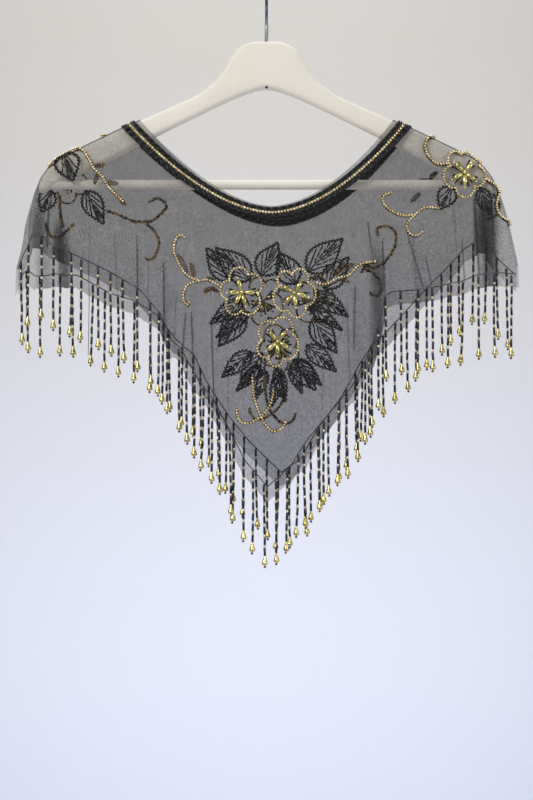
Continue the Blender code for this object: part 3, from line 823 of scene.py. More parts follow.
@dataclass(frozen=True)
class NetFinish:
    """Fine black net with six-sided holes, denser where the cloth keeps more layers."""

    hole_pitch: float = 0.95 * MM
    thread_cover: float = 0.64
    hole_cover: float = 0.21
    hole_edges: tuple[float, float] = (-0.5, 1.1)
    cloud_scale: float = 60
    cloud_cover: float = 0.1
    grain_scale: float = 800
    grain_stretch: Triple = (1.0, 1.0, 0.55)
    grain_cover: float = 0.42
    tint_scale: float = 900
    thread_height: float = 0.15 * MM
    roughness: float = 0.7
    gloss: float = 0.2
    sheen: float = 0.06
    sheen_tint: Triple = (0.6, 0.62, 0.7)
    dark: Triple = (0.004, 0.004, 0.005)
    light: Triple = (0.018, 0.018, 0.021)

    @cache
    def material(self) -> bpy.types.Material:
        """Make the net's material.

        Returns:
            The material, whose alpha follows the net's threads.
        """
        graph = Graph("black_net")
        weave = graph.node("ShaderNodeAttribute", {"attribute_name": "weave"}).outputs["Vector"]
        axes = graph.node("ShaderNodeSeparateXYZ", None, {0: weave})
        across, down = Wire(graph, axes.outputs[0]), Wire(graph, axes.outputs[1])
        turn = math.tau / self.hole_pitch
        lean = math.sqrt(3) / 2
        holes = (across * turn).cosine()
        holes = holes + ((across * 0.5 + down * lean) * turn).cosine()
        holes = holes + ((across * 0.5 - down * lean) * turn).cosine()
        thread = 1 - holes.between(*self.hole_edges)
        cloud = graph.noise(self.cloud_scale, 3)
        grain = graph.noise(self.grain_scale, 2, graph.stretched(self.grain_stretch))
        cover = self.hole_cover + thread * (self.thread_cover - self.hole_cover)
        cover = cover + (cloud - 0.5) * self.cloud_cover + (grain - 0.5) * self.grain_cover
        clear = (1 - cover) ** graph.number("layers")
        colour = graph.blend(graph.noise(self.tint_scale, 1), self.dark, self.light)
        normal = graph.bump(thread, self.thread_height, 0.6)
        return graph.dress(Base_Color=colour, Roughness=self.roughness, Alpha=1 - clear, Normal=normal,
                           Sheen_Weight=self.sheen, Sheen_Roughness=0.5, Sheen_Tint=(*self.sheen_tint, 1),
                           Specular_IOR_Level=self.gloss)


@dataclass(frozen=True)
class BeadFinish:
    """Glass or plated beads, a little uneven from bead to bead."""

    name: str
    dark: Triple
    light: Triple
    metallic: float
    roughness: float
    spread: float
    coat: float
    gloss: float
    streaks: float
    two_toned: bool = False
    tone_edges: tuple[float, float] = (0.4, 0.6)
    film_scale: float = 700
    dent_height: float = 0.06 * MM
    coat_roughness: float = 0.06

    @cache
    def material(self) -> bpy.types.Material:
        """Make the beads' material.

        Returns:
            The material, which reads each bead's own number.
        """
        graph = Graph(self.name)
        bead = graph.number("bead")
        tone = bead.between(*self.tone_edges) if self.two_toned else bead
        colour = graph.blend(tone, self.dark, self.light)
        film = graph.noise(self.film_scale, 2)
        roughness = self.roughness + bead * self.spread + film * (self.spread / 2)
        normal = graph.bump(graph.noise(self.streaks, 2), self.dent_height, 0.5)
        return graph.dress(Base_Color=colour, Metallic=self.metallic, Roughness=roughness,
                           Coat_Weight=self.coat, Coat_Roughness=self.coat_roughness,
                           Specular_IOR_Level=self.gloss, Normal=normal)


@dataclass(frozen=True)
class PaintFinish:
    """Cream paint on wood: brush lines along the length, dull patches and small chips."""

    name: str
    clean: Triple
    worn: Triple
    roughness: float = 0.42
    under: Triple = (0.46, 0.4, 0.31)
    brush_scale: float = 260
    brush_stretch: Triple = (0.12, 1.0, 1.4)
    patch_scale: float = 16
    patch_edges: tuple[float, float] = (0.35, 0.8)
    chip_scale: float = 210
    chip_edges: tuple[float, float] = (0.69, 0.73)
    relief: float = 0.12 * MM

    @cache
    def material(self) -> bpy.types.Material:
        """Make the paint's material.

        Returns:
            The material.
        """
        graph = Graph(self.name)
        brushed = graph.noise(self.brush_scale, 4, graph.stretched(self.brush_stretch))
        patches = graph.noise(self.patch_scale, 4)
        chips = graph.noise(self.chip_scale, 5).between(*self.chip_edges)
        wear = patches.between(*self.patch_edges) * 0.5 + brushed * 0.2
        colour = graph.blend(wear, self.clean, self.worn)
        colour = graph.blend(chips * 0.5, colour, self.under)
        roughness = self.roughness + patches * 0.16 - brushed * 0.05
        height = brushed * 0.7 - chips * 0.6 + patches * 0.3
        return graph.dress(Base_Color=colour, Roughness=roughness, Coat_Weight=0.06, Coat_Roughness=0.3,
                           Normal=graph.bump(height, self.relief, 0.6))


@dataclass(frozen=True)
class WireFinish:
    """Plated wire with fine drawn lines, duller where a rail has rubbed it."""

    name: str
    # bright and dull are base colours; on the hook they are a painted dark-blue reflection, and the stains
    # only move between them
    bright: Triple
    dull: Triple
    roughness: float
    line_scale: float = 1400
    line_stretch: Triple = (1.0, 1.0, 0.08)
    line_height: float = 0.03 * MM
    stain_scale: float = 70
    stain_edges: tuple[float, float] = (0.3, 0.7)

    @cache
    def material(self) -> bpy.types.Material:
        """Make the wire's material.

        Returns:
            The material.
        """
        graph = Graph(self.name)
        lines = graph.noise(self.line_scale, 3, graph.stretched(self.line_stretch))
        stains = graph.noise(self.stain_scale, 4)
        colour = graph.blend(stains.between(*self.stain_edges), self.bright, self.dull)
        roughness = self.roughness + stains * 0.12 + lines * 0.06
        return graph.dress(Base_Color=colour, Metallic=1.0, Roughness=roughness,
                           Normal=graph.bump(lines, self.line_height, 0.5))


@dataclass(frozen=True)
class ThreadFinish:
    """Twisted black sewing thread."""

    dark: Triple = (0.008, 0.008, 0.01)
    light: Triple = (0.035, 0.035, 0.04)
    twist_scale: float = 2200
    twist_height: float = 0.08 * MM
    sheen: float = 0.3

    @cache
    def material(self) -> bpy.types.Material:
        """Make the thread's material.

        Returns:
            The material.
        """
        graph = Graph("black_thread")
        twist = graph.noise(self.twist_scale, 2)
        colour = graph.blend(twist, self.dark, self.light)
        return graph.dress(Base_Color=colour, Roughness=0.6 + twist * 0.2,
                           Normal=graph.bump(twist, self.twist_height, 0.8), Sheen_Weight=self.sheen)


JET = BeadFinish(
    "jet_glass", dark=(0.002, 0.002, 0.003), light=(0.007, 0.007, 0.009),
    metallic=0.0, roughness=0.1, spread=0.16, coat=0.0, gloss=0.32, streaks=500)
FRINGE_JET = BeadFinish(
    "violet_jet_glass", dark=(0.003, 0.002, 0.005), light=(0.03, 0.025, 0.045),
    metallic=0.0, roughness=0.1, spread=0.16, coat=0.0, gloss=0.4, streaks=500)
GOLD = BeadFinish(
    "pale_gold", dark=(0.62, 0.46, 0.2), light=(1.0, 0.87, 0.54),
    metallic=1.0, roughness=0.18, spread=0.14, coat=0.3, gloss=0.5, streaks=700)
BRIGHT_GOLD = BeadFinish(
    "yellow_gold", dark=(0.46, 0.39, 0.12), light=(0.7, 0.61, 0.24),
    metallic=1.0, roughness=0.15, spread=0.1, coat=0.6, gloss=0.5, streaks=250)
COPPER = BeadFinish(
    "brown_copper", dark=(0.012, 0.006, 0.003), light=(0.2, 0.11, 0.04),
    metallic=0.7, roughness=0.3, spread=0.16, coat=0.1, gloss=0.4, streaks=700)
STITCHES = BeadFinish(
    "brown_stitches", dark=(0.004, 0.003, 0.002), light=(0.36, 0.23, 0.09),
    metallic=0.6, roughness=0.35, spread=0.2, coat=0.0, gloss=0.4, streaks=900, two_toned=True)
# The hook wire's dark navy base colours are a painted reflection of dark surroundings, not the plated steel's
# own colour.
HOOK_WIRE_PAINTED_REFLECTION = WireFinish("hook_wire", bright=(0.085, 0.105, 0.165), dull=(0.06, 0.075, 0.115), roughness=0.28)
FERRULE = WireFinish("ferrule_steel", bright=(0.3, 0.345, 0.34), dull=(0.22, 0.26, 0.255), roughness=0.3)
BOARD_PAINT = PaintFinish("board_paint", clean=(0.76, 0.72, 0.63), worn=(0.68, 0.64, 0.55))
BAR_PAINT = PaintFinish("bar_paint", clean=(0.78, 0.745, 0.66), worn=(0.66, 0.62, 0.53))


class BeadShape:
    """One bead's mesh, turned about its own Z axis."""

    def __init__(self, sides: int, profile: Sequence[tuple[float, float]]) -> None:
        """Turn a profile into a closed mesh.

        Args:
            sides: how many sides the bead has.
            profile: radii and heights in metres from the top to the foot, without the two points on the axis.
        """
        rings = len(profile)
        angles = np.arange(sides) * math.tau / sides
        round_ = np.stack([np.cos(angles), np.sin(angles)], axis=1)
        spots = [np.column_stack([round_ * radius, np.full(sides, height)]) for radius, height in profile]
        top, foot = rings * sides, rings * sides + 1
        self.spots = np.vstack([*spots, [[0, 0, profile[0][1]], [0, 0, profile[-1][1]]]])
        faces = []
        for side in range(sides):
            after = (side + 1) % sides
            faces.append((top, side, after))
            faces.append((foot, (rings - 1) * sides + after, (rings - 1) * sides + side))
            for ring in range(rings - 1):
                high, low = ring * sides, (ring + 1) * sides
                faces.append((high + side, low + side, low + after))
                faces.append((high + side, low + after, high + after))
        self.faces = np.array(faces)


TUBE_RIM = 0.22
ROUND_HEIGHT = 0.94
# Each row of a profile is a share of the length, from the top, and a share of the largest radius.
PEAR_PROFILE = (
    (0, 0.3), (0.04, 0.38), (0.2, 0.46), (0.4, 0.62), (0.57, 0.8),
    (0.7, 0.95), (0.8, 1.0), (0.89, 0.9), (0.96, 0.6), (1.0, 0.26),
)
PETAL_PROFILE = (
    (0, 0.28), (0.06, 0.5), (0.2, 0.74), (0.4, 0.92), (0.6, 1.0),
    (0.78, 0.95), (0.9, 0.72), (0.97, 0.45), (1.0, 0.25),
)


def tube_bead(length: float, radius: float, sides: int = 8) -> BeadShape:
    """A cut glass tube with slightly rounded rims.

    Args:
        length: its length.
        radius: its radius.
        sides: how many sides it has.

    Returns:
        The bead.
    """
    rim = radius * TUBE_RIM
    half = length / 2
    profile = ((radius - rim, half), (radius, half - rim), (radius, rim - half), (radius - rim, -half))
    return BeadShape(sides, profile)


def round_bead(radius: float, sides: int = 8, rings: int = 3) -> BeadShape:
    """A round bead, a little flattened where its hole is.

    Args:
        radius: its radius.
        sides: how many sides it has.
        rings: how many rings of points it has.

    Returns:
        The bead.
    """
    angles = [math.pi * (ring + 0.75) / (rings + 0.5) for ring in range(rings)]
    high = radius * ROUND_HEIGHT
    return BeadShape(sides, [(radius * math.sin(angle), high * math.cos(angle)) for angle in angles])


def pear_bead(length: float, wide: float, sides: int = 12) -> BeadShape:
    """A drop that is narrow at its top, full near its foot and rounded below.

    Args:
        length: its length.
        wide: its largest radius.
        sides: how many sides it has.

    Returns:
        The bead.
    """
    return BeadShape(sides, [(wide * width, length * (0.5 - share)) for share, width in PEAR_PROFILE])


def petal_bead(length: float, wide: float, sides: int = 12) -> BeadShape:
    """A long bead, fullest past its middle, with both ends rounded.

    Args:
        length: its length.
        wide: its largest radius.
        sides: how many sides it has.

    Returns:
        The bead.
    """
    return BeadShape(sides, [(wide * width, length * (0.5 - share)) for share, width in PETAL_PROFILE])


class Pile:
    """Many beads of a few shapes, gathered into one mesh."""

    def __init__(self, seed: int) -> None:
        """Start an empty pile.

        Args:
            seed: where its own draws start.
        """
        self.draw = np.random.default_rng(seed)
        self.spots: list[np.ndarray] = []
        self.faces: list[np.ndarray] = []
        self.tints: list[np.ndarray] = []
        self.filled = 0

    def add(self, shape: BeadShape, centres: np.ndarray, axes: np.ndarray, size: float = 1.0) -> None:
        """Add one bead at each centre.

        Args:
            shape: the beads' shape.
            centres: where they lie.
            axes: where their holes point, from the foot to the top.
            size: their scale.
        """
        count = len(centres)
        if not count:
            return
        upright = axes / np.linalg.norm(axes, axis=1, keepdims=True)
        guide = np.where(np.abs(upright[:, 1:2]) > 0.9, [[1.0, 0.0, 0.0]], [[0.0, 1.0, 0.0]])
        first = np.cross(guide, upright)
        first = first / np.linalg.norm(first, axis=1, keepdims=True)
        second = np.cross(upright, first)
        frames = np.stack([first, second, upright], axis=1)
        placed = np.einsum("vk,nkc->nvc", shape.spots * size, frames) + centres[:, None, :]
        corners = len(shape.spots)
        starts = self.filled + np.arange(count) * corners
        self.spots.append(placed.reshape(-1, 3))
        self.faces.append((shape.faces[None] + starts[:, None, None]).reshape(-1, 3))
        self.tints.append(np.repeat(self.draw.random(count), corners))
        self.filled += count * corners

    def build(self, name: str, material: bpy.types.Material, slot: Slot,
              replaced: Iterable[str] = ()) -> bpy.types.Object:
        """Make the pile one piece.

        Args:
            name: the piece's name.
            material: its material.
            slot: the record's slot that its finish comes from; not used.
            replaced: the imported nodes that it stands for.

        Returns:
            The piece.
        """
        thing = mesh_piece(name, np.vstack(self.spots), np.vstack(self.faces), material, replaced)
        keep_number(thing, "bead", np.concatenate(self.tints))
        return thing


def keep_number(thing: bpy.types.Object, name: str, values: np.ndarray) -> None:
    """Keep a number at each point of a mesh.

    Args:
        thing: the object.
        name: the number's name.
        values: one number a point.
    """
    kept = thing.data.attributes.new(name, "FLOAT", "POINT")
    kept.data.foreach_set("value", values.astype(np.float32))


def mesh_piece(name: str, spots: np.ndarray, faces: np.ndarray, material: bpy.types.Material,
               replaced: Iterable[str] = ()) -> bpy.types.Object:
    """Make a smooth piece from points and faces.

    Args:
        name: the piece's name.
        spots: its points.
        faces: its faces, all of the same number of corners.
        material: its material.
        replaced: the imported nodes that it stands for.

    Returns:
        The object.
    """
    mesh = bpy.data.meshes.new(name)
    mesh.from_pydata(spots.tolist(), [], faces.tolist())
    mesh.shade_smooth()
    return adopt(name, mesh, material, replaced)


def adopt(name: str, mesh: bpy.types.Mesh, material: bpy.types.Material,
          replaced: Iterable[str] = ()) -> bpy.types.Object:
    """Make a mesh a piece that rides with the cape.

    Args:
        name: the piece's name.
        mesh: its mesh.
        material: its material.
        replaced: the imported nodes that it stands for.

    Returns:
        The object.
    """
    mesh.materials.clear()
    mesh.materials.append(material)
    thing = bpy.data.objects.new(name, mesh)
    bpy.context.scene.collection.objects.link(thing)
    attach(thing, ROOT)
    if replaced:
        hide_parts(*replaced)
    log.info("%s: %d points, %d faces", name, len(mesh.vertices), len(mesh.polygons))
    return thing


def curved(rows: Sequence[Point], steps: int = 14) -> np.ndarray:
    """Run a smooth curve through points of the front view.

    Args:
        rows: the points, in millimetres.
        steps: how many steps there are between two of them.

    Returns:
        Points of the curve, in metres, as x and z.
    """
    knots = np.array([rows[0], *rows, rows[-1]], float) * MM
    shares = np.linspace(0, 1, steps, endpoint=False)[:, None]
    runs = []
    for before, here, after, beyond in zip(knots, knots[1:], knots[2:], knots[3:]):
        bend = (2 * here, after - before, 2 * before - 5 * here + 4 * after - beyond,
                3 * here - before - 3 * after + beyond)
        runs.append(sum(part * shares ** power for power, part in enumerate(bend)) / 2)
    return np.vstack([*runs, knots[-1:]])


@dataclass
class Trail:
    """A line on the cloth that beads are strung along."""

    spots: np.ndarray
    facing: np.ndarray
    closed: bool = False
    reach_share: float = 0.3

    @classmethod
    def on(cls, cloth: Cloth, side: Side, rows: np.ndarray, closed: bool = False) -> "Trail":
        """Lay a line of the front view on the cloth.

        Args:
            cloth: the net.
            side: the side that it lies on.
            rows: its points, as x and z in metres.
            closed: whether it comes back to its start.

        Returns:
            The trail.
        """
        if closed:
            rows = np.vstack([rows, rows[:1]])
        spots, facing = cloth.place(side, rows[:, 0], rows[:, 1])
        return cls(spots, facing, closed)

    def strung(self, pitch: float, height: float, start: float = 0.5
               ) -> tuple[np.ndarray, np.ndarray, np.ndarray]:
        """Space places evenly along the trail.

        Args:
            pitch: the wanted distance between them.
            height: how far they lie above the cloth.
            start: how far the first one is from the trail's start, in steps.

        Returns:
            The places, the directions along the trail and the directions out of the cloth.
        """
        steps = np.linalg.norm(np.diff(self.spots, axis=0), axis=1)
        lengths = np.concatenate([[0], np.cumsum(steps)])
        count = max(int(round(lengths[-1] / pitch)), 1)
        at = (np.arange(count) + start) * lengths[-1] / count
        reach = lengths[-1] / count * self.reach_share

        def read(kept: np.ndarray, shift: float) -> np.ndarray:
            """Read what the trail keeps at a distance along it from each place."""
            where = np.clip(at + shift, 0, lengths[-1])
            return np.stack([np.interp(where, lengths, axis) for axis in kept.T], axis=1)

        facing = read(self.facing, 0)
        facing = facing / np.linalg.norm(facing, axis=1, keepdims=True)
        along = read(self.spots, reach) - read(self.spots, -reach)
        return read(self.spots, 0) + facing * height, along, facing

    def shifted(self, distance: float) -> "Trail":
        """Move the trail sideways on the cloth, to the left of where it runs as seen from outside.

        Args:
            distance: how far it moves.

        Returns:
            The moved trail.
        """
        along = np.gradient(self.spots, axis=0)
        if self.closed:
            along[0] = along[-1] = along[0] + along[-1]
        sideways = np.cross(self.facing, along)
        sideways = sideways / np.linalg.norm(sideways, axis=1, keepdims=True)
        return Trail(self.spots + sideways * distance, self.facing, self.closed)


def rippled(ripples: Sequence[Ripple], x: np.ndarray) -> np.ndarray:
    """The sum of some ripples at places across."""
    return sum(ripple.height * np.sin(x * ripple.rate + ripple.start) for ripple in ripples)


@dataclass
class NetSheet:
    """The net as one open sheet: over the fold line, round the neck hole and down to its raw edges."""

    cloth: Cloth
    column_step: float = 0.85 * MM
    wrap_rows: int = 7
    body_rows: int = 40
    edge_rows: int = 6
    raw_edge: float = 13 * MM
    edge_growth: float = 0.22
    edge_wave: float = 0.6 * MM
    flutter: float = 0.9 * MM
    edge_ripples: tuple[Ripple, ...] = (Ripple(1, 310, 0), Ripple(0.7, 811, 1.3), Ripple(0.5, 1730, 0.4))
    flutter_ripples: tuple[Ripple, ...] = (Ripple(1, 420, 2), Ripple(0.6, 1130, 0))
    depth_share: float = 0.7
    weave_turns: tuple[float, float] = (9, 39)
    flat: tuple[float, float] = (0.53, 0.89)
    flat_area: float = 0.185

    def columns(self) -> np.ndarray:
        """Space the columns evenly, with one at each end of the neck hole.

        Returns:
            The columns' places across.
        """
        corners = self.cloth.shoulder.line_x
        hole = FRONT_NET_NECK.half_width * MM
        runs = []
        for start, end in ((corners[0], -hole), (-hole, hole), (hole, corners[-1])):
            count = int(round((end - start) / self.column_step))
            runs.append(np.linspace(start, end, count, endpoint=False))
        return np.concatenate([*runs, corners[-1:]])

    def grid(self, hanging: Hanging, x: np.ndarray) -> tuple[np.ndarray, np.ndarray]:
        """Lay out one side.

        Args:
            hanging: the side's form.
            x: places of the columns.

        Returns:
            The points and their numbers of layers, row by row from the top.
        """
        ridge = self.cloth.shoulder.z(x)
        inside = np.abs(x) < hanging.neck.half_width * MM
        top = np.where(inside, np.minimum(ridge, hanging.neck_z(hanging.neck, x)), ridge)
        turns = np.linspace(0, math.pi / 2, self.wrap_rows)
        rows = [top - self.cloth.shoulder.wrap_rise * (1 - math.cos(turn)) for turn in turns]
        start, thread = rows[-1], hanging.thread_z(x)
        rows += [start + (thread - start) * row / self.body_rows for row in range(1, self.body_rows + 1)]
        slope = np.gradient(thread, x)
        wave = rippled(self.edge_ripples, x) * self.edge_wave / 2
        drop = self.raw_edge * (1 + slope * slope) ** self.edge_growth + wave
        rows += [thread - drop * row / self.edge_rows for row in range(1, self.edge_rows + 1)]
        heights = np.array(rows)
        places = np.broadcast_to(x, heights.shape)
        spots = hanging.lie(places, heights)
        loose = np.clip((thread - heights) / self.raw_edge, 0, 2)
        spots[..., 1] += loose * rippled(self.flutter_ripples, x) * self.flutter / 2
        return spots, hanging.layers(places, heights)

    def weave(self, spots: np.ndarray, turn: float) -> np.ndarray:
        """Find the places of points on the flat cloth.

        Args:
            spots: the points of one side, row by row.
            turn: how far the holes' rows are turned on that side, in radians.

        Returns:
            Places across, by the level length along each row, and down, by the height.
        """
        steps = np.linalg.norm(np.diff(spots[..., :2], axis=1), axis=2)
        across = np.hstack([np.zeros((spots.shape[0], 1)), np.cumsum(steps, axis=1)])
        across = across - across[:, across.shape[1] // 2, None]
        down = spots[..., 1] * self.depth_share - spots[..., 2]
        return np.stack([across * math.cos(turn) - down * math.sin(turn),
                         across * math.sin(turn) + down * math.cos(turn), np.zeros_like(down)], axis=-1)

    def build(self, material: bpy.types.Material) -> bpy.types.Object:
        """Make the net.

        Args:
            material: the net's material.

        Returns:
            The net's sheet.
        """
        x = self.columns()
        count = len(x)
        shared = np.abs(x) >= FRONT_NET_NECK.half_width * MM - 1e-9
        spots, layers, weaves, faces = [], [], [], []
        for number, (side, hanging) in enumerate(self.cloth.sides.items()):
            laid, thick = self.grid(hanging, x)
            index = np.arange(laid.shape[0] * count).reshape(-1, count) + number * laid.shape[0] * count
            if number:
                index[0] = np.where(shared, np.arange(count), index[0])
            corners = (index[:-1, :-1], index[1:, :-1], index[1:, 1:], index[:-1, 1:])
            if side is Side.BACK:
                corners = corners[::-1]
            faces.append(np.stack(corners, axis=-1).reshape(-1, 4))
            spots.append(laid.reshape(-1, 3))
            layers.append(thick.reshape(-1))
            weaves.append(self.weave(laid, math.radians(self.weave_turns[number])).reshape(-1, 3))
        used, faces_left = np.unique(np.vstack(faces), return_inverse=True)
        net = mesh_piece("net_sheet", np.vstack(spots)[used], faces_left.reshape(-1, 4), material,
                         ("net_front", "net_back"))
        net.visible_shadow = False
        net.visible_diffuse = False
        keep_number(net, "layers", np.concatenate(layers)[used])
        woven = net.data.attributes.new("weave", "FLOAT_VECTOR", "POINT")
        woven.data.foreach_set("vector", np.vstack(weaves)[used].astype(np.float32).ravel())
        area = sum(polygon.area for polygon in net.data.polygons)
        log.info("net area %.4f square metres", area)
        return net


@dataclass
class NeckBand:
    """Rows of tube beads and one gold row along the neck, on one side."""

    cloth: Cloth
    side: Side
    inner: NeckLine
    outer: NeckLine
    gold: NeckLine
    tube_shares: tuple[float, ...] = (0.03, 0.22, 0.71, 0.86, 1.0)
    tube_length: float = 7.2 * MM
    tube_radius: float = 1.2 * MM
    tube_steps: tuple[float, float] = (1.045, 1.01)
    tube_uneven: float = 0.018
    gold_pitch: float = 3.1 * MM
    gold_radius: float = 1.58 * MM
    lift: float = 0.2 * MM
    backing_length: float = 3.6 * MM
    backing_radius: float = 1.5 * MM
    steps: int = 420

    def row(self, line: NeckLine) -> Trail:
        """Lay one row along the neck.

        Args:
            line: the row's line.

        Returns:
            The row's trail, from fold line to fold line.
        """
        hanging = self.cloth.sides[self.side]
        half = line.half_width * MM
        x = half * np.sin(np.linspace(-math.pi / 2, math.pi / 2, self.steps))
        z = np.minimum(hanging.neck_z(line, x), self.cloth.shoulder.z(x))
        return Trail(hanging.lie(x, z), hanging.outward(x, z))

    def between(self, share: float) -> NeckLine:
        """A line between the band's inner and outer edges."""
        pairs = zip(self.inner, self.outer)
        return NeckLine(*(near + (far - near) * share for near, far in pairs))

    def build(self) -> list[bpy.types.Object]:
        """Make the band's two pieces.

        Returns:
            The pieces.
        """
        name = f"neck_band_{self.side.word}"
        tubes = Pile(11 + self.side.value)
        shape = tube_bead(self.tube_length, self.tube_radius)
        for number, share in enumerate(self.tube_shares):
            trail = self.row(self.between(share))
            pitch = self.tube_length * self.tube_steps[number % 2]
            spots, along, facing = trail.strung(pitch, self.tube_radius + self.lift)
            uneven = tubes.draw.normal(0, self.tube_uneven, (len(spots), 1))
            axes = along / np.linalg.norm(along, axis=1, keepdims=True)
            tubes.add(shape, spots, axes + np.cross(facing, axes) * uneven)
        spots, along, _ = self.row(self.gold).strung(self.backing_length, -self.backing_radius - self.lift)
        tubes.add(tube_bead(self.backing_length, self.backing_radius, 6), spots, along)
        beads = Pile(17 + self.side.value)
        spots, along, _ = self.row(self.gold).strung(self.gold_pitch, self.gold_radius + self.lift)
        beads.add(round_bead(self.gold_radius, 10, 5), spots, along)
        return [tubes.build(name + "_jet", JET.material(), Slot.JET, (name,)),
                beads.build(name + "_gold", GOLD.material(), Slot.GOLD)]


@dataclass
class Fringe:
    """Strands of tube beads and gold beads that hang from the hem thread, on one side."""

    cloth: Cloth
    side: Side
    pitch: float = 16 * MM
    steepest: float = 2.2
    inset: float = 3 * MM
    tubes: int = 7
    tube_length: float = 7.5 * MM
    tube_radius: float = 1.2 * MM
    gold_radius: float = 1.42 * MM
    drop_length: float = 9.6 * MM
    drop_wide: float = 3.0 * MM
    seed_radius: float = 1.25 * MM
    kink: float = 0.035
    thread_radius: float = 0.5 * MM
    stand_out: float = 1.5 * MM
    sway: float = 0.013
    bend: float = 1.4
    bend_middle: float = 0.4
    side_shift: float = 0.12 * MM
    top_drop: float = 0.6 * MM
    tail: float = 0.6 * MM
    uneven: float = 0.15
    most_uneven: float = 0.34
    stitch_pitch: float = 1.1 * MM
    stitch_half: float = 0.62 * MM
    hitch_radius: float = 0.75 * MM
    hitch_rise: float = 0.8 * MM
    loose_end: Point = Point(-173, -367)
    loose_radius: float = 0.32 * MM
    loose_pitch: float = 1.2 * MM
    loose_half: float = 0.66 * MM
    loose_bow: float = 0.5 * MM
    loose_turns: float = 4

    def hem(self) -> np.ndarray:
        """Run the hem thread along the net.

        Returns:
            Its points, from the left corner to the right.
        """
        hanging = self.cloth.sides[self.side]
        ends = self.cloth.shoulder.line_x
        x = np.linspace(ends[0] + self.inset, ends[-1] - self.inset, 900)
        z = hanging.thread_z(x)
        return hanging.lie(x, z) + hanging.outward(x, z) * self.thread_radius

    def roots(self, path: np.ndarray) -> np.ndarray:
        """Where the strands hang: a pitch apart, further apart where the hem is steep.

        Args:
            path: points of the hem thread.

        Returns:
            The places.
        """
        steps = np.diff(path, axis=0)
        rise = np.minimum(np.abs(steps[:, 2]), self.steepest * steps[:, 0])
        reach = np.concatenate([[0], np.cumsum(np.hypot(steps[:, 0], rise))])
        count = int(round(reach[-1] / self.pitch))
        shift = np.random.default_rng(17 + self.side.value).normal(0, self.uneven, count)
        shift = np.clip(shift, -self.most_uneven, self.most_uneven)
        at = (np.arange(count) + 0.5 + shift) * reach[-1] / count
        return np.stack([np.interp(at, reach, axis) for axis in path.T], axis=1)

    def links(self) -> list[tuple[str, float]]:
        """List the beads of a strand.

        Returns:
            Their kinds and lengths, from its top.
        """
        chain = []
        for number in range(self.tubes):
            chain.append(("tube", self.tube_length))
            if number < self.tubes - 1:
                chain.append(("gold", 2 * self.gold_radius))
        return [*chain, ("drop", self.drop_length), ("seed", 2 * self.seed_radius)]

    def build(self) -> list[bpy.types.Object]:
        """Make the fringe's pieces.

        Returns:
            The pieces.
        """
        kinds = ("jet", "gold", "drops", "seeds")
        piles = {kind: Pile(23 + number * 2 + self.side.value) for number, kind in enumerate(kinds)}
        shapes = {
            "tube": ("jet", tube_bead(self.tube_length, self.tube_radius)),
            "gold": ("gold", round_bead(self.gold_radius, 8, 4)),
            "drop": ("drops", pear_bead(self.drop_length, self.drop_wide)),
            "seed": ("seeds", round_bead(self.seed_radius, 8, 4)),
        }
        path = self.hem()
        tops = self.roots(path) + np.array([0, self.side.value * self.stand_out, -self.top_drop])
        draw = np.random.default_rng(31 + self.side.value)
        lean = draw.normal(0, self.sway, (len(tops), 2))
        bend = draw.normal(0, self.sway * self.bend, (len(tops), 2))
        tail = draw.normal(0, 1, (len(tops), 1)) * self.tail
        total = sum(length for _, length in self.links())
        reached = np.zeros((len(tops), 1)) + np.abs(tail)
        for kind, length in self.links():
            middle = reached + length / 2
            share = middle / total
            swing = lean + bend * (share - self.bend_middle)
            spots = tops + np.hstack([swing[:, :1] * middle, swing[:, 1:] * middle, -middle])
            axes = np.hstack([-lean - bend * (2 * share - self.bend_middle), np.ones((len(tops), 1))])
            axes[:, 0] += draw.normal(0, self.kink, len(tops))
            spots[:, 0] += draw.normal(0, self.side_shift, len(tops))
            group, shape = shapes[kind]
            piles[group].add(shape, spots, axes)
            reached = reached + length
        name = f"fringe_{self.side.word}"
        jet = piles["jet"].build(name + "_jet", FRINGE_JET.material(), Slot.JET, (name,))
        gold = piles["gold"].build(name + "_gold", GOLD.material(), Slot.GOLD)
        drops = piles["drops"].build(name + "_drops", BRIGHT_GOLD.material(), Slot.GOLD)
        seeds = piles["seeds"].build(name + "_seeds", COPPER.material(), Slot.GOLD)
        return [jet, gold, drops, seeds, self.build_thread(path, tops)]

    def build_thread(self, path: np.ndarray, tops: np.ndarray) -> bpy.types.Object:
        """Make the hem thread with a hitch at each strand.

        Args:
            path: points of the hem thread.
            tops: the strands' tops.

        Returns:
            The thread.
        """
        pile = Pile(41)
        steps = np.diff(path, axis=0)
        stitch = BeadShape(6, [(self.thread_radius, end * self.stitch_half) for end in (1, -1)])
        lengths = np.linalg.norm(steps, axis=1)
        for first in range(len(steps)):
            pieces = max(int(math.ceil(lengths[first] / self.stitch_pitch)), 1)
            shares = (np.arange(pieces)[:, None] + 0.5) / pieces
            axes = np.repeat(steps[first:first + 1], pieces, axis=0)
            pile.add(stitch, path[first] + steps[first] * shares, axes)
        hitch = round_bead(self.hitch_radius, 6, 3)
        knots = tops + np.array([0, -self.side.value * self.stand_out * 0.5, self.hitch_rise])
        pile.add(hitch, knots, np.repeat([[0.0, 0.0, 1.0]], len(knots), axis=0))
        if self.side is Side.FRONT:
            self.hang_loose_end(pile, path)
        return pile.build(f"hem_thread_{self.side.word}", ThreadFinish().material(), Slot.NET)

    def hang_loose_end(self, pile: Pile, path: np.ndarray) -> None:
        """Hang the bare end of a broken strand from the hem thread.

        Args:
            pile: the thread's beads.
            path: points of the hem thread.
        """
        top = path[np.argmin(np.abs(path[:, 0] - self.loose_end.x * MM))]
        drop = top[2] - self.loose_end.z * MM
        down = np.arange(0.5 * MM, drop, self.loose_pitch)
        bow = np.sin(down / drop * self.loose_turns) * self.loose_bow
        spots = top + np.stack([bow, np.full(len(down), self.side.value * self.stand_out), -down], axis=1)
        link = BeadShape(6, [(self.loose_radius, end * self.loose_half) for end in (1, -1)])
        pile.add(link, spots, np.repeat([[0.0, 0.0, 1.0]], len(down), axis=0))


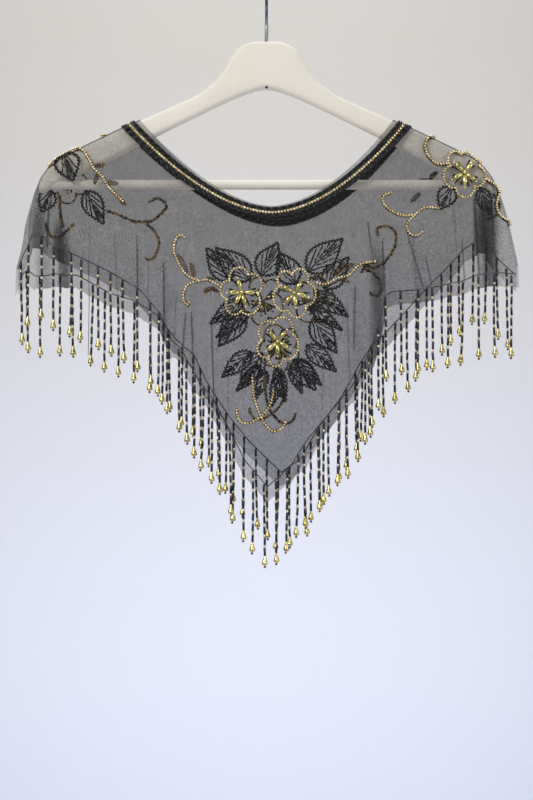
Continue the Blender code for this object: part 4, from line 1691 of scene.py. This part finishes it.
@dataclass
class Embroidery:
    """The sewn flowers, leaves, scrolls and buds of one side."""

    cloth: Cloth
    side: Side
    ring_across: float = 21 * MM
    ring_up: float = 24.6 * MM
    lobe: float = 0.29
    lobe_power: float = 0.7
    ring_pitch: float = 2.8 * MM
    bead_radius: float = 1.38 * MM
    petal_length: float = 10.4 * MM
    petal_start: float = 2.2 * MM
    petal_wide: float = 2.7 * MM
    tip_reach: float = 14.6 * MM
    centre_radius: float = 2.2 * MM
    dark_rows: tuple[Triple, ...] = ((17, 6.5, 14), (-16, 8, 13))
    dark_length: float = 4 * MM
    dark_pitch: float = 4.2 * MM
    dark_radius: float = 0.85 * MM
    tube_length: float = 4.6 * MM
    tube_radius: float = 0.98 * MM
    tube_step: float = 0.78
    edge_turn: float = 32
    vein_length: float = 5.4 * MM
    vein_radius: float = 0.74 * MM
    vein_step: float = 1.03
    vein_gap: float = 8.5 * MM
    vein_rise: float = 1.4
    vein_ends: tuple[float, float] = (0.12, 0.8)
    last_vein: float = 0.86
    midrib: float = 0.84
    widest: float = 0.36
    base_power: float = 0.75
    tip_power: float = 1.33
    uneven: float = 6
    lift: float = 0.15 * MM
    seed_radius: float = 1.05 * MM
    seed_pitch: float = 2.3 * MM
    seed_height: float = 0.95 * MM
    core_pitch: float = 2.4 * MM
    core_height: float = 1.5 * MM
    core_ends: tuple[float, float] = (0.15, 0.9)
    stitch_length: float = 2.2 * MM
    stitch_radius: float = 0.75 * MM
    stitch_pitch: float = 2.7 * MM
    stitch_depth: float = 0.9 * MM
    stitch_lean: float = 0.55
    stitch_rows: float = 1.6 * MM

    def flowers(self) -> tuple[Flower, ...]:
        """The side's flowers."""
        spray = SPRAY_FLOWERS if self.side is Side.FRONT else tuple(map(mirrored_flower, SPRAY_FLOWERS))
        return (*spray, SHOULDER_FLOWERS[self.side])

    def leaves(self) -> tuple[Leaf, ...]:
        """The side's leaves."""
        spray = SPRAY_LEAVES if self.side is Side.FRONT else tuple(map(mirrored_leaf, SPRAY_LEAVES))
        return (*spray, *SHOULDER_LEAVES[self.side])

    def scrolls(self) -> tuple[tuple[Point, ...], ...]:
        """The side's scrolls."""
        return (*SPRAY_SCROLLS[self.side], *SHOULDER_SCROLLS[self.side])

    def buds(self) -> tuple[Bud, ...]:
        """The side's buds."""
        return (*SPRAY_BUDS[self.side], *SHOULDER_BUDS[self.side])

    def nodes(self, kind: str) -> list[str]:
        """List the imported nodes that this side's flowers or leaves stand for.

        Args:
            kind: flower or leaf.

        Returns:
            The nodes' names.
        """
        if kind == "leaf":
            return [f"leaf_{self.side.word}_{number}" for number in range(1, 14)]
        names = [flower.node for flower in self.flowers()]
        return ["flower_" + name if name.startswith("shoulder") else f"flower_{self.side.word}_{name}"
                for name in names]

    def trail(self, rows: np.ndarray, closed: bool = False) -> Trail:
        """Lay a line on this side of the cloth."""
        return Trail.on(self.cloth, self.side, rows, closed)

    def string(self, pile: Pile, shape: BeadShape, rows: np.ndarray, pitch: float, radius: float,
               closed: bool = False) -> None:
        """Sew a line of beads.

        Args:
            pile: where the beads go.
            shape: their shape.
            rows: the line, as x and z in metres.
            pitch: the distance between them.
            radius: their radius.
            closed: whether the line comes back to its start.
        """
        spots, along, _ = self.trail(rows, closed).strung(pitch, radius + self.lift)
        pile.add(shape, spots, along)

    def ring(self, flower: Flower, scale: float = 1.0) -> np.ndarray:
        """Draw the lobed ring round a flower.

        Args:
            flower: the flower.
            scale: the ring's size.

        Returns:
            Its points, as x and z in metres.
        """
        notches = np.sort(np.mod(flower.notches, 360))
        edges = np.concatenate([notches, notches[:1] + 360])
        angles = []
        reach = []
        for first, second in zip(edges, edges[1:]):
            shares = np.linspace(0, 1, 22, endpoint=False)
            angles.append(np.radians(first + (second - first) * shares))
            reach.append(1 - self.lobe + self.lobe * np.sin(math.pi * shares) ** self.lobe_power)
        turn, far = np.concatenate(angles), np.concatenate(reach) * scale
        return np.stack([flower.x * MM + np.cos(turn) * far * self.ring_across,
                         flower.z * MM + np.sin(turn) * far * self.ring_up], axis=1)

    def spoke(self, flower: Flower, angle: float, near: float, far: float) -> np.ndarray:
        """Draw a short line out of a flower's centre.

        Args:
            flower: the flower.
            angle: which way it runs, in degrees.
            near: how far from the centre it starts.
            far: how far from the centre it ends.

        Returns:
            Its points, as x and z in metres.
        """
        way = np.array([math.cos(math.radians(angle)), math.sin(math.radians(angle))])
        centre = np.array([flower.x, flower.z]) * MM
        return centre + way * np.linspace(near, far, 7)[:, None]

    def build_flowers(self) -> list[bpy.types.Object]:
        """Make the flowers' two pieces.

        Returns:
            The pieces.
        """
        gold, bright, dark = Pile(51), Pile(52), Pile(53)
        bead = round_bead(self.bead_radius, 8, 4)
        petal = petal_bead(self.petal_length, self.petal_wide)
        small = tube_bead(self.dark_length, self.dark_radius, 6)
        for flower in self.flowers():
            self.string(gold, bead, self.ring(flower), self.ring_pitch, self.bead_radius, True)
            for angle in flower.petals:
                line = self.spoke(flower, angle, self.petal_start, self.petal_start + self.petal_length)
                spots, along, _ = self.trail(line).strung(self.petal_length, self.petal_wide * 0.8)
                bright.add(petal, spots, -along)
                tip = self.spoke(flower, angle, self.tip_reach - MM, self.tip_reach + MM)
                self.string(gold, bead, tip, self.ring_pitch, self.bead_radius)
                for turn, near, far in self.dark_rows:
                    side_way = self.spoke(flower, angle + turn, near * MM, far * MM)
                    self.string(dark, small, side_way, self.dark_pitch, self.dark_radius)
            centre = self.spoke(flower, 0, -MM, MM)
            self.string(bright, round_bead(self.centre_radius, 12, 6), centre, 9 * MM, self.centre_radius)
        word = self.side.word
        return [gold.build(f"flowers_{word}_gold", GOLD.material(), Slot.GOLD, self.nodes("flower")),
                bright.build(f"flowers_{word}_petals", BRIGHT_GOLD.material(), Slot.GOLD),
                dark.build(f"flowers_{word}_dark", JET.material(), Slot.JET)]

    def leaf_lines(self, leaf: Leaf) -> list[tuple[np.ndarray, float]]:
        """Draw the lines of tube beads in a leaf.

        Args:
            leaf: the leaf.

        Returns:
            Each line's points, as x and z in metres, and how far its beads are turned, in degrees.
        """
        base = np.array([leaf.base_x, leaf.base_z]) * MM
        run = np.array([leaf.tip_x, leaf.tip_z]) * MM - base
        length = float(np.linalg.norm(run))
        across = np.array([-run[1], run[0]]) / length
        half = leaf.half_width * MM

        def spot(share: float, out: float) -> np.ndarray:
            """A point of the leaf by its shares of the length and of the half width."""
            return base + run * share + across * out * half

        def width(share: float) -> float:
            """Find the leaf's width, which is widest a third of the way up and 0 at the tip.

            Args:
                share: the share of the length.

            Returns:
                The share of the half width.
            """
            if share >= 1:
                return 0.0
            rise = (share / self.widest) ** self.base_power
            return rise * ((1 - share) / (1 - self.widest)) ** self.tip_power

        shares = np.linspace(0, 1, 25)
        lines = [(np.array([spot(share * self.midrib, 0) for share in shares]), 0.0)]
        inner, outer = self.vein_ends
        for hand in (-1, 1):
            edge = [spot(share, hand * width(share)) for share in shares]
            lines.append((np.array(edge), hand * self.edge_turn))
            veins = max(int(length / self.vein_gap), 2)
            for number in range(veins):
                start = (number + 0.35) / (veins + 1.6)
                end = min(start + self.vein_rise * half / length, self.last_vein)
                ends = spot(start, hand * inner), spot(end, hand * outer * width(end))
                lines.append((np.linspace(*ends, 6), 0.0))
        return lines

    def build_leaves(self) -> list[bpy.types.Object]:
        """Make the leaves' piece.

        Returns:
            The piece, in a list.
        """
        pile = Pile(61 + self.side.value)
        edge, edge_pitch = tube_bead(self.tube_length, self.tube_radius, 6), self.tube_length * self.tube_step
        vein, vein_pitch = tube_bead(self.vein_length, self.vein_radius, 6), self.vein_length * self.vein_step
        for leaf in self.leaves():
            for rows, turned in self.leaf_lines(leaf):
                shape, pitch, radius = vein, vein_pitch, self.vein_radius
                if turned:
                    shape, pitch, radius = edge, edge_pitch, self.tube_radius
                spots, along, facing = self.trail(rows).strung(pitch, radius + self.lift)
                way = along / np.linalg.norm(along, axis=1, keepdims=True)
                angle = np.radians(turned + pile.draw.normal(0, self.uneven, (len(way), 1))) * self.side.value
                pile.add(shape, spots, way * np.cos(angle) + np.cross(facing, way) * np.sin(angle))
        return [pile.build(f"leaves_{self.side.word}", JET.material(), Slot.JET, self.nodes("leaf"))]

    def build_lines(self) -> list[bpy.types.Object]:
        """Make the scrolls and the buds.

        Returns:
            The pieces.
        """
        scrolls, buds = Pile(71), Pile(73)
        bead = round_bead(self.bead_radius, 8, 4)
        for scroll in self.scrolls():
            self.string(scrolls, bead, curved(scroll), self.ring_pitch, self.bead_radius)
        seed = round_bead(self.seed_radius, 8, 4)
        turn = np.linspace(0, math.tau, 28, endpoint=False)
        for bud in self.buds():
            way = np.array([math.cos(math.radians(bud.angle)), math.sin(math.radians(bud.angle))])
            side_way = np.array([-way[1], way[0]])
            long_ = (1 - np.cos(turn))[:, None] * bud.length * MM / 2
            wide = np.sin(turn)[:, None] * np.sqrt(bud.length) * 0.5 * MM
            rows = np.array([bud.x, bud.z]) * MM + way * long_ + side_way * wide
            self.string(buds, seed, rows, self.seed_pitch, self.seed_height, True)
            shares = np.linspace(*self.core_ends, 6)[:, None]
            core = np.array([bud.x, bud.z]) * MM + way * shares * bud.length * MM
            self.string(buds, seed, core, self.core_pitch, self.core_height)
        word = self.side.word
        return [scrolls.build(f"scrolls_{word}", GOLD.material(), Slot.GOLD),
                buds.build(f"buds_{word}", COPPER.material(), Slot.GOLD), self.build_stitches()]

    def build_stitches(self) -> bpy.types.Object:
        """Make the brown stitches on the net's inner face, behind each scroll and ring.

        Returns:
            The piece.
        """
        pile = Pile(79)
        stitch = tube_bead(self.stitch_length, self.stitch_radius, 6)
        lines = [(curved(scroll), 2, False) for scroll in self.scrolls()]
        lines += [(self.ring(flower), 1, True) for flower in self.flowers()]
        for rows, strands, closed in lines:
            for number in range(strands):
                trail = self.trail(rows, closed).shifted((number - (strands - 1) / 2) * self.stitch_rows)
                start = 0.25 + 0.5 * number
                spots, along, facing = trail.strung(self.stitch_pitch, -self.stitch_depth, start)
                way = along / np.linalg.norm(along, axis=1, keepdims=True)
                lean = self.stitch_lean * (1 - 2 * number) * (strands - 1)
                lean = lean + pile.draw.normal(0, 0.3, (len(way), 1))
                cross = np.cross(facing, way) * lean
                pile.add(stitch, spots, way + cross)
        return pile.build(f"stitches_{self.side.word}", STITCHES.material(), Slot.GOLD)

    def build(self) -> list[bpy.types.Object]:
        """Make all of the side's motifs."""
        return [*self.build_flowers(), *self.build_leaves(), *self.build_lines()]


@dataclass
class Hanger:
    """The hanger: a board with rounded edges, its bar, and a wire hook in a ferrule."""

    thickness: float = 12 * MM
    edge_round: float = 4.5 * MM
    wire_radius: float = 1.45 * MM
    ring_radius: float = 20 * MM
    tip_angle: float = 205
    leaving_angle: float = -50
    bend_radius: float = 6 * MM
    board_curve_steps: int = 6
    ferrule_top: float = -41.4 * MM
    ferrule_profile: tuple[Point, ...] = points(
        (0.9, 0), (1.45, -0.001), (1.7, -0.502), (1.75, -0.903), (1.75, -20.004), (1.5, -20.405))
    nut_depth: float = -4.2 * MM
    nut_height: float = -103.4 * MM
    nut_profile: tuple[Point, ...] = points((0.8, 1.6), (1.3, 1.2), (1.5, 0), (1.2, -1.0), (0.5, -1.3))
    stem_foot: float = -64 * MM

    def board(self) -> None:
        """Cut the board from its smooth outline, with rounded edges."""
        half = curved(BOARD_HALF, self.board_curve_steps)
        outline = np.vstack([half, (half * (-1, 1))[-2:0:-1]])
        curve = bpy.data.curves.new("board_outline", "CURVE")
        curve.dimensions = "2D"
        curve.fill_mode = "BOTH"
        curve.extrude = self.thickness / 2 - self.edge_round
        curve.bevel_depth = self.edge_round
        curve.bevel_resolution = 4
        curve.offset = -self.edge_round
        spline = curve.splines.new("POLY")
        spline.points.add(len(outline) - 1)
        for point, (x, z) in zip(spline.points, outline.tolist()):
            point.co = (x, z, 0, 1)
        spline.use_cyclic_u = True
        guide = bpy.data.objects.new("board_outline", curve)
        bpy.context.scene.collection.objects.link(guide)
        bpy.context.view_layer.update()
        result = guide.evaluated_get(bpy.context.evaluated_depsgraph_get())
        shape = bpy.data.meshes.new_from_object(result)
        bpy.data.objects.remove(guide, do_unlink=True)
        shape.transform(Matrix.Rotation(math.pi / 2, 4, "X"))
        work = bmesh.new()
        work.from_mesh(shape)
        bmesh.ops.remove_doubles(work, verts=work.verts, dist=0.01 * MM)
        bmesh.ops.recalc_face_normals(work, faces=work.faces)
        work.to_mesh(shape)
        work.free()
        shape.set_sharp_from_angle(angle=math.radians(40))
        adopt("hanger_board", shape, BOARD_PAINT.material(), ("hanger_wood",))

    def wire_path(self) -> np.ndarray:
        """Bend the wire's centre line.

        Returns:
            Its points, from the hook's tip to the stem's foot.
        """
        centre = np.array([0.0, 1.6 * MM - self.ring_radius])
        turn = np.radians(np.linspace(self.tip_angle, self.leaving_angle, 48))
        ring = centre + self.ring_radius * np.stack([np.cos(turn), np.sin(turn)], axis=1)
        leaving = math.radians(self.leaving_angle)
        slope = math.cos(leaving) / -math.sin(leaving)
        corner = ring[-1, 1] - ring[-1, 0] * slope
        bent = math.radians(90 + self.leaving_angle)
        setback = self.bend_radius * math.tan((math.pi / 2 - bent) / 2)
        turn = np.linspace(math.pi / 2 + bent, math.pi, 10)
        bend = np.array([self.bend_radius, corner - setback])
        bend = bend + self.bend_radius * np.stack([np.cos(turn), np.sin(turn)], axis=1)
        path = np.vstack([ring, bend, [[0.0, self.stem_foot]]])
        return np.column_stack([np.zeros(len(path)), path])

    def swept(self, path: np.ndarray, radii: np.ndarray, sides: int = 16) -> tuple[np.ndarray, np.ndarray]:
        """Sweep a round section along a path in the middle plane from front to back.

        Args:
            path: the points.
            radii: the radius at each point.
            sides: how many sides the section has.

        Returns:
            The points and the faces, with closed ends.
        """
        along = np.gradient(path, axis=0)
        along = along / np.linalg.norm(along, axis=1, keepdims=True)
        first = np.array([1.0, 0.0, 0.0])
        second = np.cross(along, first)
        turn = (np.arange(sides) * math.tau / sides)[None, :, None]
        spots = path[:, None] + radii[:, None, None] * (np.cos(turn) * first + np.sin(turn) * second[:, None])
        spots = np.vstack([spots.reshape(-1, 3), path[:1], path[-1:]])
        rings, last = len(path), len(path) * sides
        faces = []
        for side in range(sides):
            after = (side + 1) % sides
            faces.append((last, after, side))
            faces.append((last + 1, (rings - 1) * sides + side, (rings - 1) * sides + after))
            for ring in range(rings - 1):
                high, low = ring * sides, (ring + 1) * sides
                faces += [(high + side, high + after, low + after), (high + side, low + after, low + side)]
        return spots, np.array(faces)

    def turned(self, profile: Sequence[Point], depth: float, height: float, sides: int = 16
               ) -> tuple[np.ndarray, np.ndarray]:
        """Turn a profile about an upright axis.

        Args:
            profile: radii and heights, in millimetres, from the top; no two heights are the same.
            depth: where the axis stands, front to back.
            height: where the profile's height 0 is.
            sides: how many sides the shape has.

        Returns:
            The points and the faces.
        """
        radii, heights = np.array(profile).T * MM
        count = len(profile)
        path = np.column_stack([np.zeros(count), np.full(count, depth), heights + height])
        return self.swept(path, radii, sides)

    def hook(self) -> None:
        """Make the wire, the ferrule that it sits in and its dark end under the board."""
        path = self.wire_path()
        spots, faces = self.swept(path, np.full(len(path), self.wire_radius))
        # The wire and the nut under the board both take the hook wire's painted dark-blue reflection as their
        # colour.
        mesh_piece("hook_wire", spots, faces, HOOK_WIRE_PAINTED_REFLECTION.material(), ("hanger_hook",))
        spots, faces = self.turned(self.ferrule_profile, 0.0, self.ferrule_top)
        mesh_piece("hook_ferrule", spots, faces, FERRULE.material())
        spots, faces = self.turned(self.nut_profile, self.nut_depth, self.nut_height, 12)
        mesh_piece("hook_nut", spots, faces, HOOK_WIRE_PAINTED_REFLECTION.material())

    def build(self) -> None:
        """Make the hanger."""
        self.board()
        self.hook()
        bar = bpy.data.objects["hanger_bar"]
        bar.data.materials.clear()
        bar.data.materials.append(BAR_PAINT.material())


class Lamp(NamedTuple):
    """A soft square light: its place, power in watts, side, colour and what it faces."""

    name: str
    place: Triple
    power: float
    size: float
    colour: Triple = (1.0, 1.0, 1.0)
    aim: Triple = (0, 0, -0.4)


@dataclass
class Studio:
    """The camera, the pale backdrop and the soft lights."""

    camera_distance: float = 1.2
    camera_height: float = -0.4106
    half_view: float = 0.3285
    wall_distance: float = 2.4
    floor_height: float = -1.65
    wall_top: float = 2.2
    half_width: float = 4.5
    world: Triple = (0.42, 0.42, 0.435)
    # The wall is painted lighter and bluer low down and darker and warmer high up: painted light and shade,
    # not the wall's own colour.
    wall_low: Triple = (0.79, 0.83, 0.97)
    wall_high: Triple = (0.62, 0.60, 0.565)
    floor_paint: Triple = (0.72, 0.72, 0.76)
    lamps: tuple[Lamp, ...] = (
        Lamp("key_light", (-1.3, -1.9, 0.9), 35, 0.8, (1.0, 0.98, 0.95)),
        Lamp("fill_light", (1.7, -1.5, 0.0), 12, 1.2, (0.95, 0.97, 1.0)),
        Lamp("top_light", (0.2, 0.1, 1.3), 6, 0.9),
        Lamp("wall_light_high", (0.0, 0.9, 1.6), 18, 1.6, aim=(0, 2.4, -0.2)),
        Lamp("wall_light_low", (0.0, 0.9, -1.55), 18, 1.6, aim=(0, 2.4, -0.2)),
    )

    def build_camera(self) -> None:
        """Place the camera level with the middle of the picture."""
        data = bpy.data.cameras.new("main_camera")
        data.sensor_width = 36
        data.lens = 18 / self.half_view
        data.dof.use_dof = False
        camera = bpy.data.objects.new("main_camera", data)
        camera.location = (0, -self.camera_distance, self.camera_height)
        camera.rotation_euler = (math.pi / 2, 0, 0)
        bpy.context.scene.collection.objects.link(camera)
        bpy.context.scene.camera = camera

    def plain(self, name: str, low: Triple, high: Triple) -> bpy.types.Material:
        """Make a matt paint whose colour changes a little with height; on the wall that change is a painted
        gradient of light and shade.

        Args:
            name: the material's name.
            low: its colour low down.
            high: its colour high up.

        Returns:
            The material.
        """
        graph = Graph(name)
        axes = graph.node("ShaderNodeSeparateXYZ", None, {0: graph.place()})
        rise = Wire(graph, axes.outputs[2]).between(-1.5, 0.7) + (graph.noise(3, 2) - 0.5) * 0.04
        colour = graph.blend(rise, low, high)
        return graph.dress(Base_Color=colour, Roughness=0.95, Specular_IOR_Level=0.1)

    def build_backdrop(self) -> None:
        """Make the wall behind the cape and the floor."""
        left, right, near = -self.half_width, self.half_width, -self.half_width
        back, foot = self.wall_distance, self.floor_height
        low_edge = ((left, back, foot), (right, back, foot))
        high_edge = ((right, back, self.wall_top), (left, back, self.wall_top))
        near_edge = ((left, near, foot), (right, near, foot))
        # The wall's height gradient is painted light and shade; the floor is one even colour.
        self.panel("wall", (*low_edge, *high_edge), self.wall_low, self.wall_high)
        self.panel("floor", (*near_edge, *low_edge[::-1]), self.floor_paint, self.floor_paint)

    def panel(self, name: str, corners: Sequence[Triple], low: Triple, high: Triple) -> None:
        """Make one flat painted panel of the backdrop.

        Args:
            name: its name.
            corners: its four corners, in turn.
            low: its colour low down.
            high: its colour high up.
        """
        mesh = bpy.data.meshes.new(name)
        mesh.from_pydata(corners, [], [(0, 1, 2, 3)])
        mesh.materials.append(self.plain(name + "_paint", low, high))
        thing = bpy.data.objects.new(name, mesh)
        bpy.context.scene.collection.objects.link(thing)

    def light(self, lamp: Lamp) -> None:
        """Add a light.

        Args:
            lamp: what it is like.
        """
        data = bpy.data.lights.new(lamp.name, "AREA")
        data.energy = lamp.power
        data.size = lamp.size
        data.color = lamp.colour
        thing = bpy.data.objects.new(lamp.name, data)
        thing.location = lamp.place
        thing.rotation_euler = (Vector(lamp.aim) - Vector(lamp.place)).to_track_quat("-Z", "Y").to_euler()
        bpy.context.scene.collection.objects.link(thing)

    def build(self) -> None:
        """Make the studio, the camera first."""
        self.build_camera()
        self.build_backdrop()
        for lamp in self.lamps:
            self.light(lamp)
        world = bpy.data.worlds.new("pale_room")
        world.use_nodes = True
        world.node_tree.nodes["Background"].inputs[0].default_value = (*self.world, 1)
        scene = bpy.context.scene
        scene.world = world
        scene.view_settings.view_transform = "Standard"


@dataclass
class Cape:
    """The whole cape on its hanger."""

    cloth: Cloth = field(default_factory=Cloth)

    def build(self) -> None:
        """Make the net and everything that is sewn on it."""
        sheet = NetSheet(self.cloth)
        net = sheet.build(NetFinish().material())
        bands = (
            NeckBand(self.cloth, Side.FRONT, *FRONT_BAND_EDGES, FRONT_BAND_GOLD),
            NeckBand(self.cloth, Side.BACK, *BACK_BAND_EDGES, BACK_BAND_GOLD),
        )
        sewn = [piece for band in bands for piece in band.build()]
        for side in Side:
            sewn += Fringe(self.cloth, side).build()
            sewn += Embroidery(self.cloth, side).build()


def main() -> None:
    """Build the studio, the hanger and the cape."""
    logging.basicConfig(level=logging.INFO, format="%(name)s: %(message)s")
    Studio().build()
    Hanger().build()
    Cape().build()


if __name__ == "__main__":
    main()
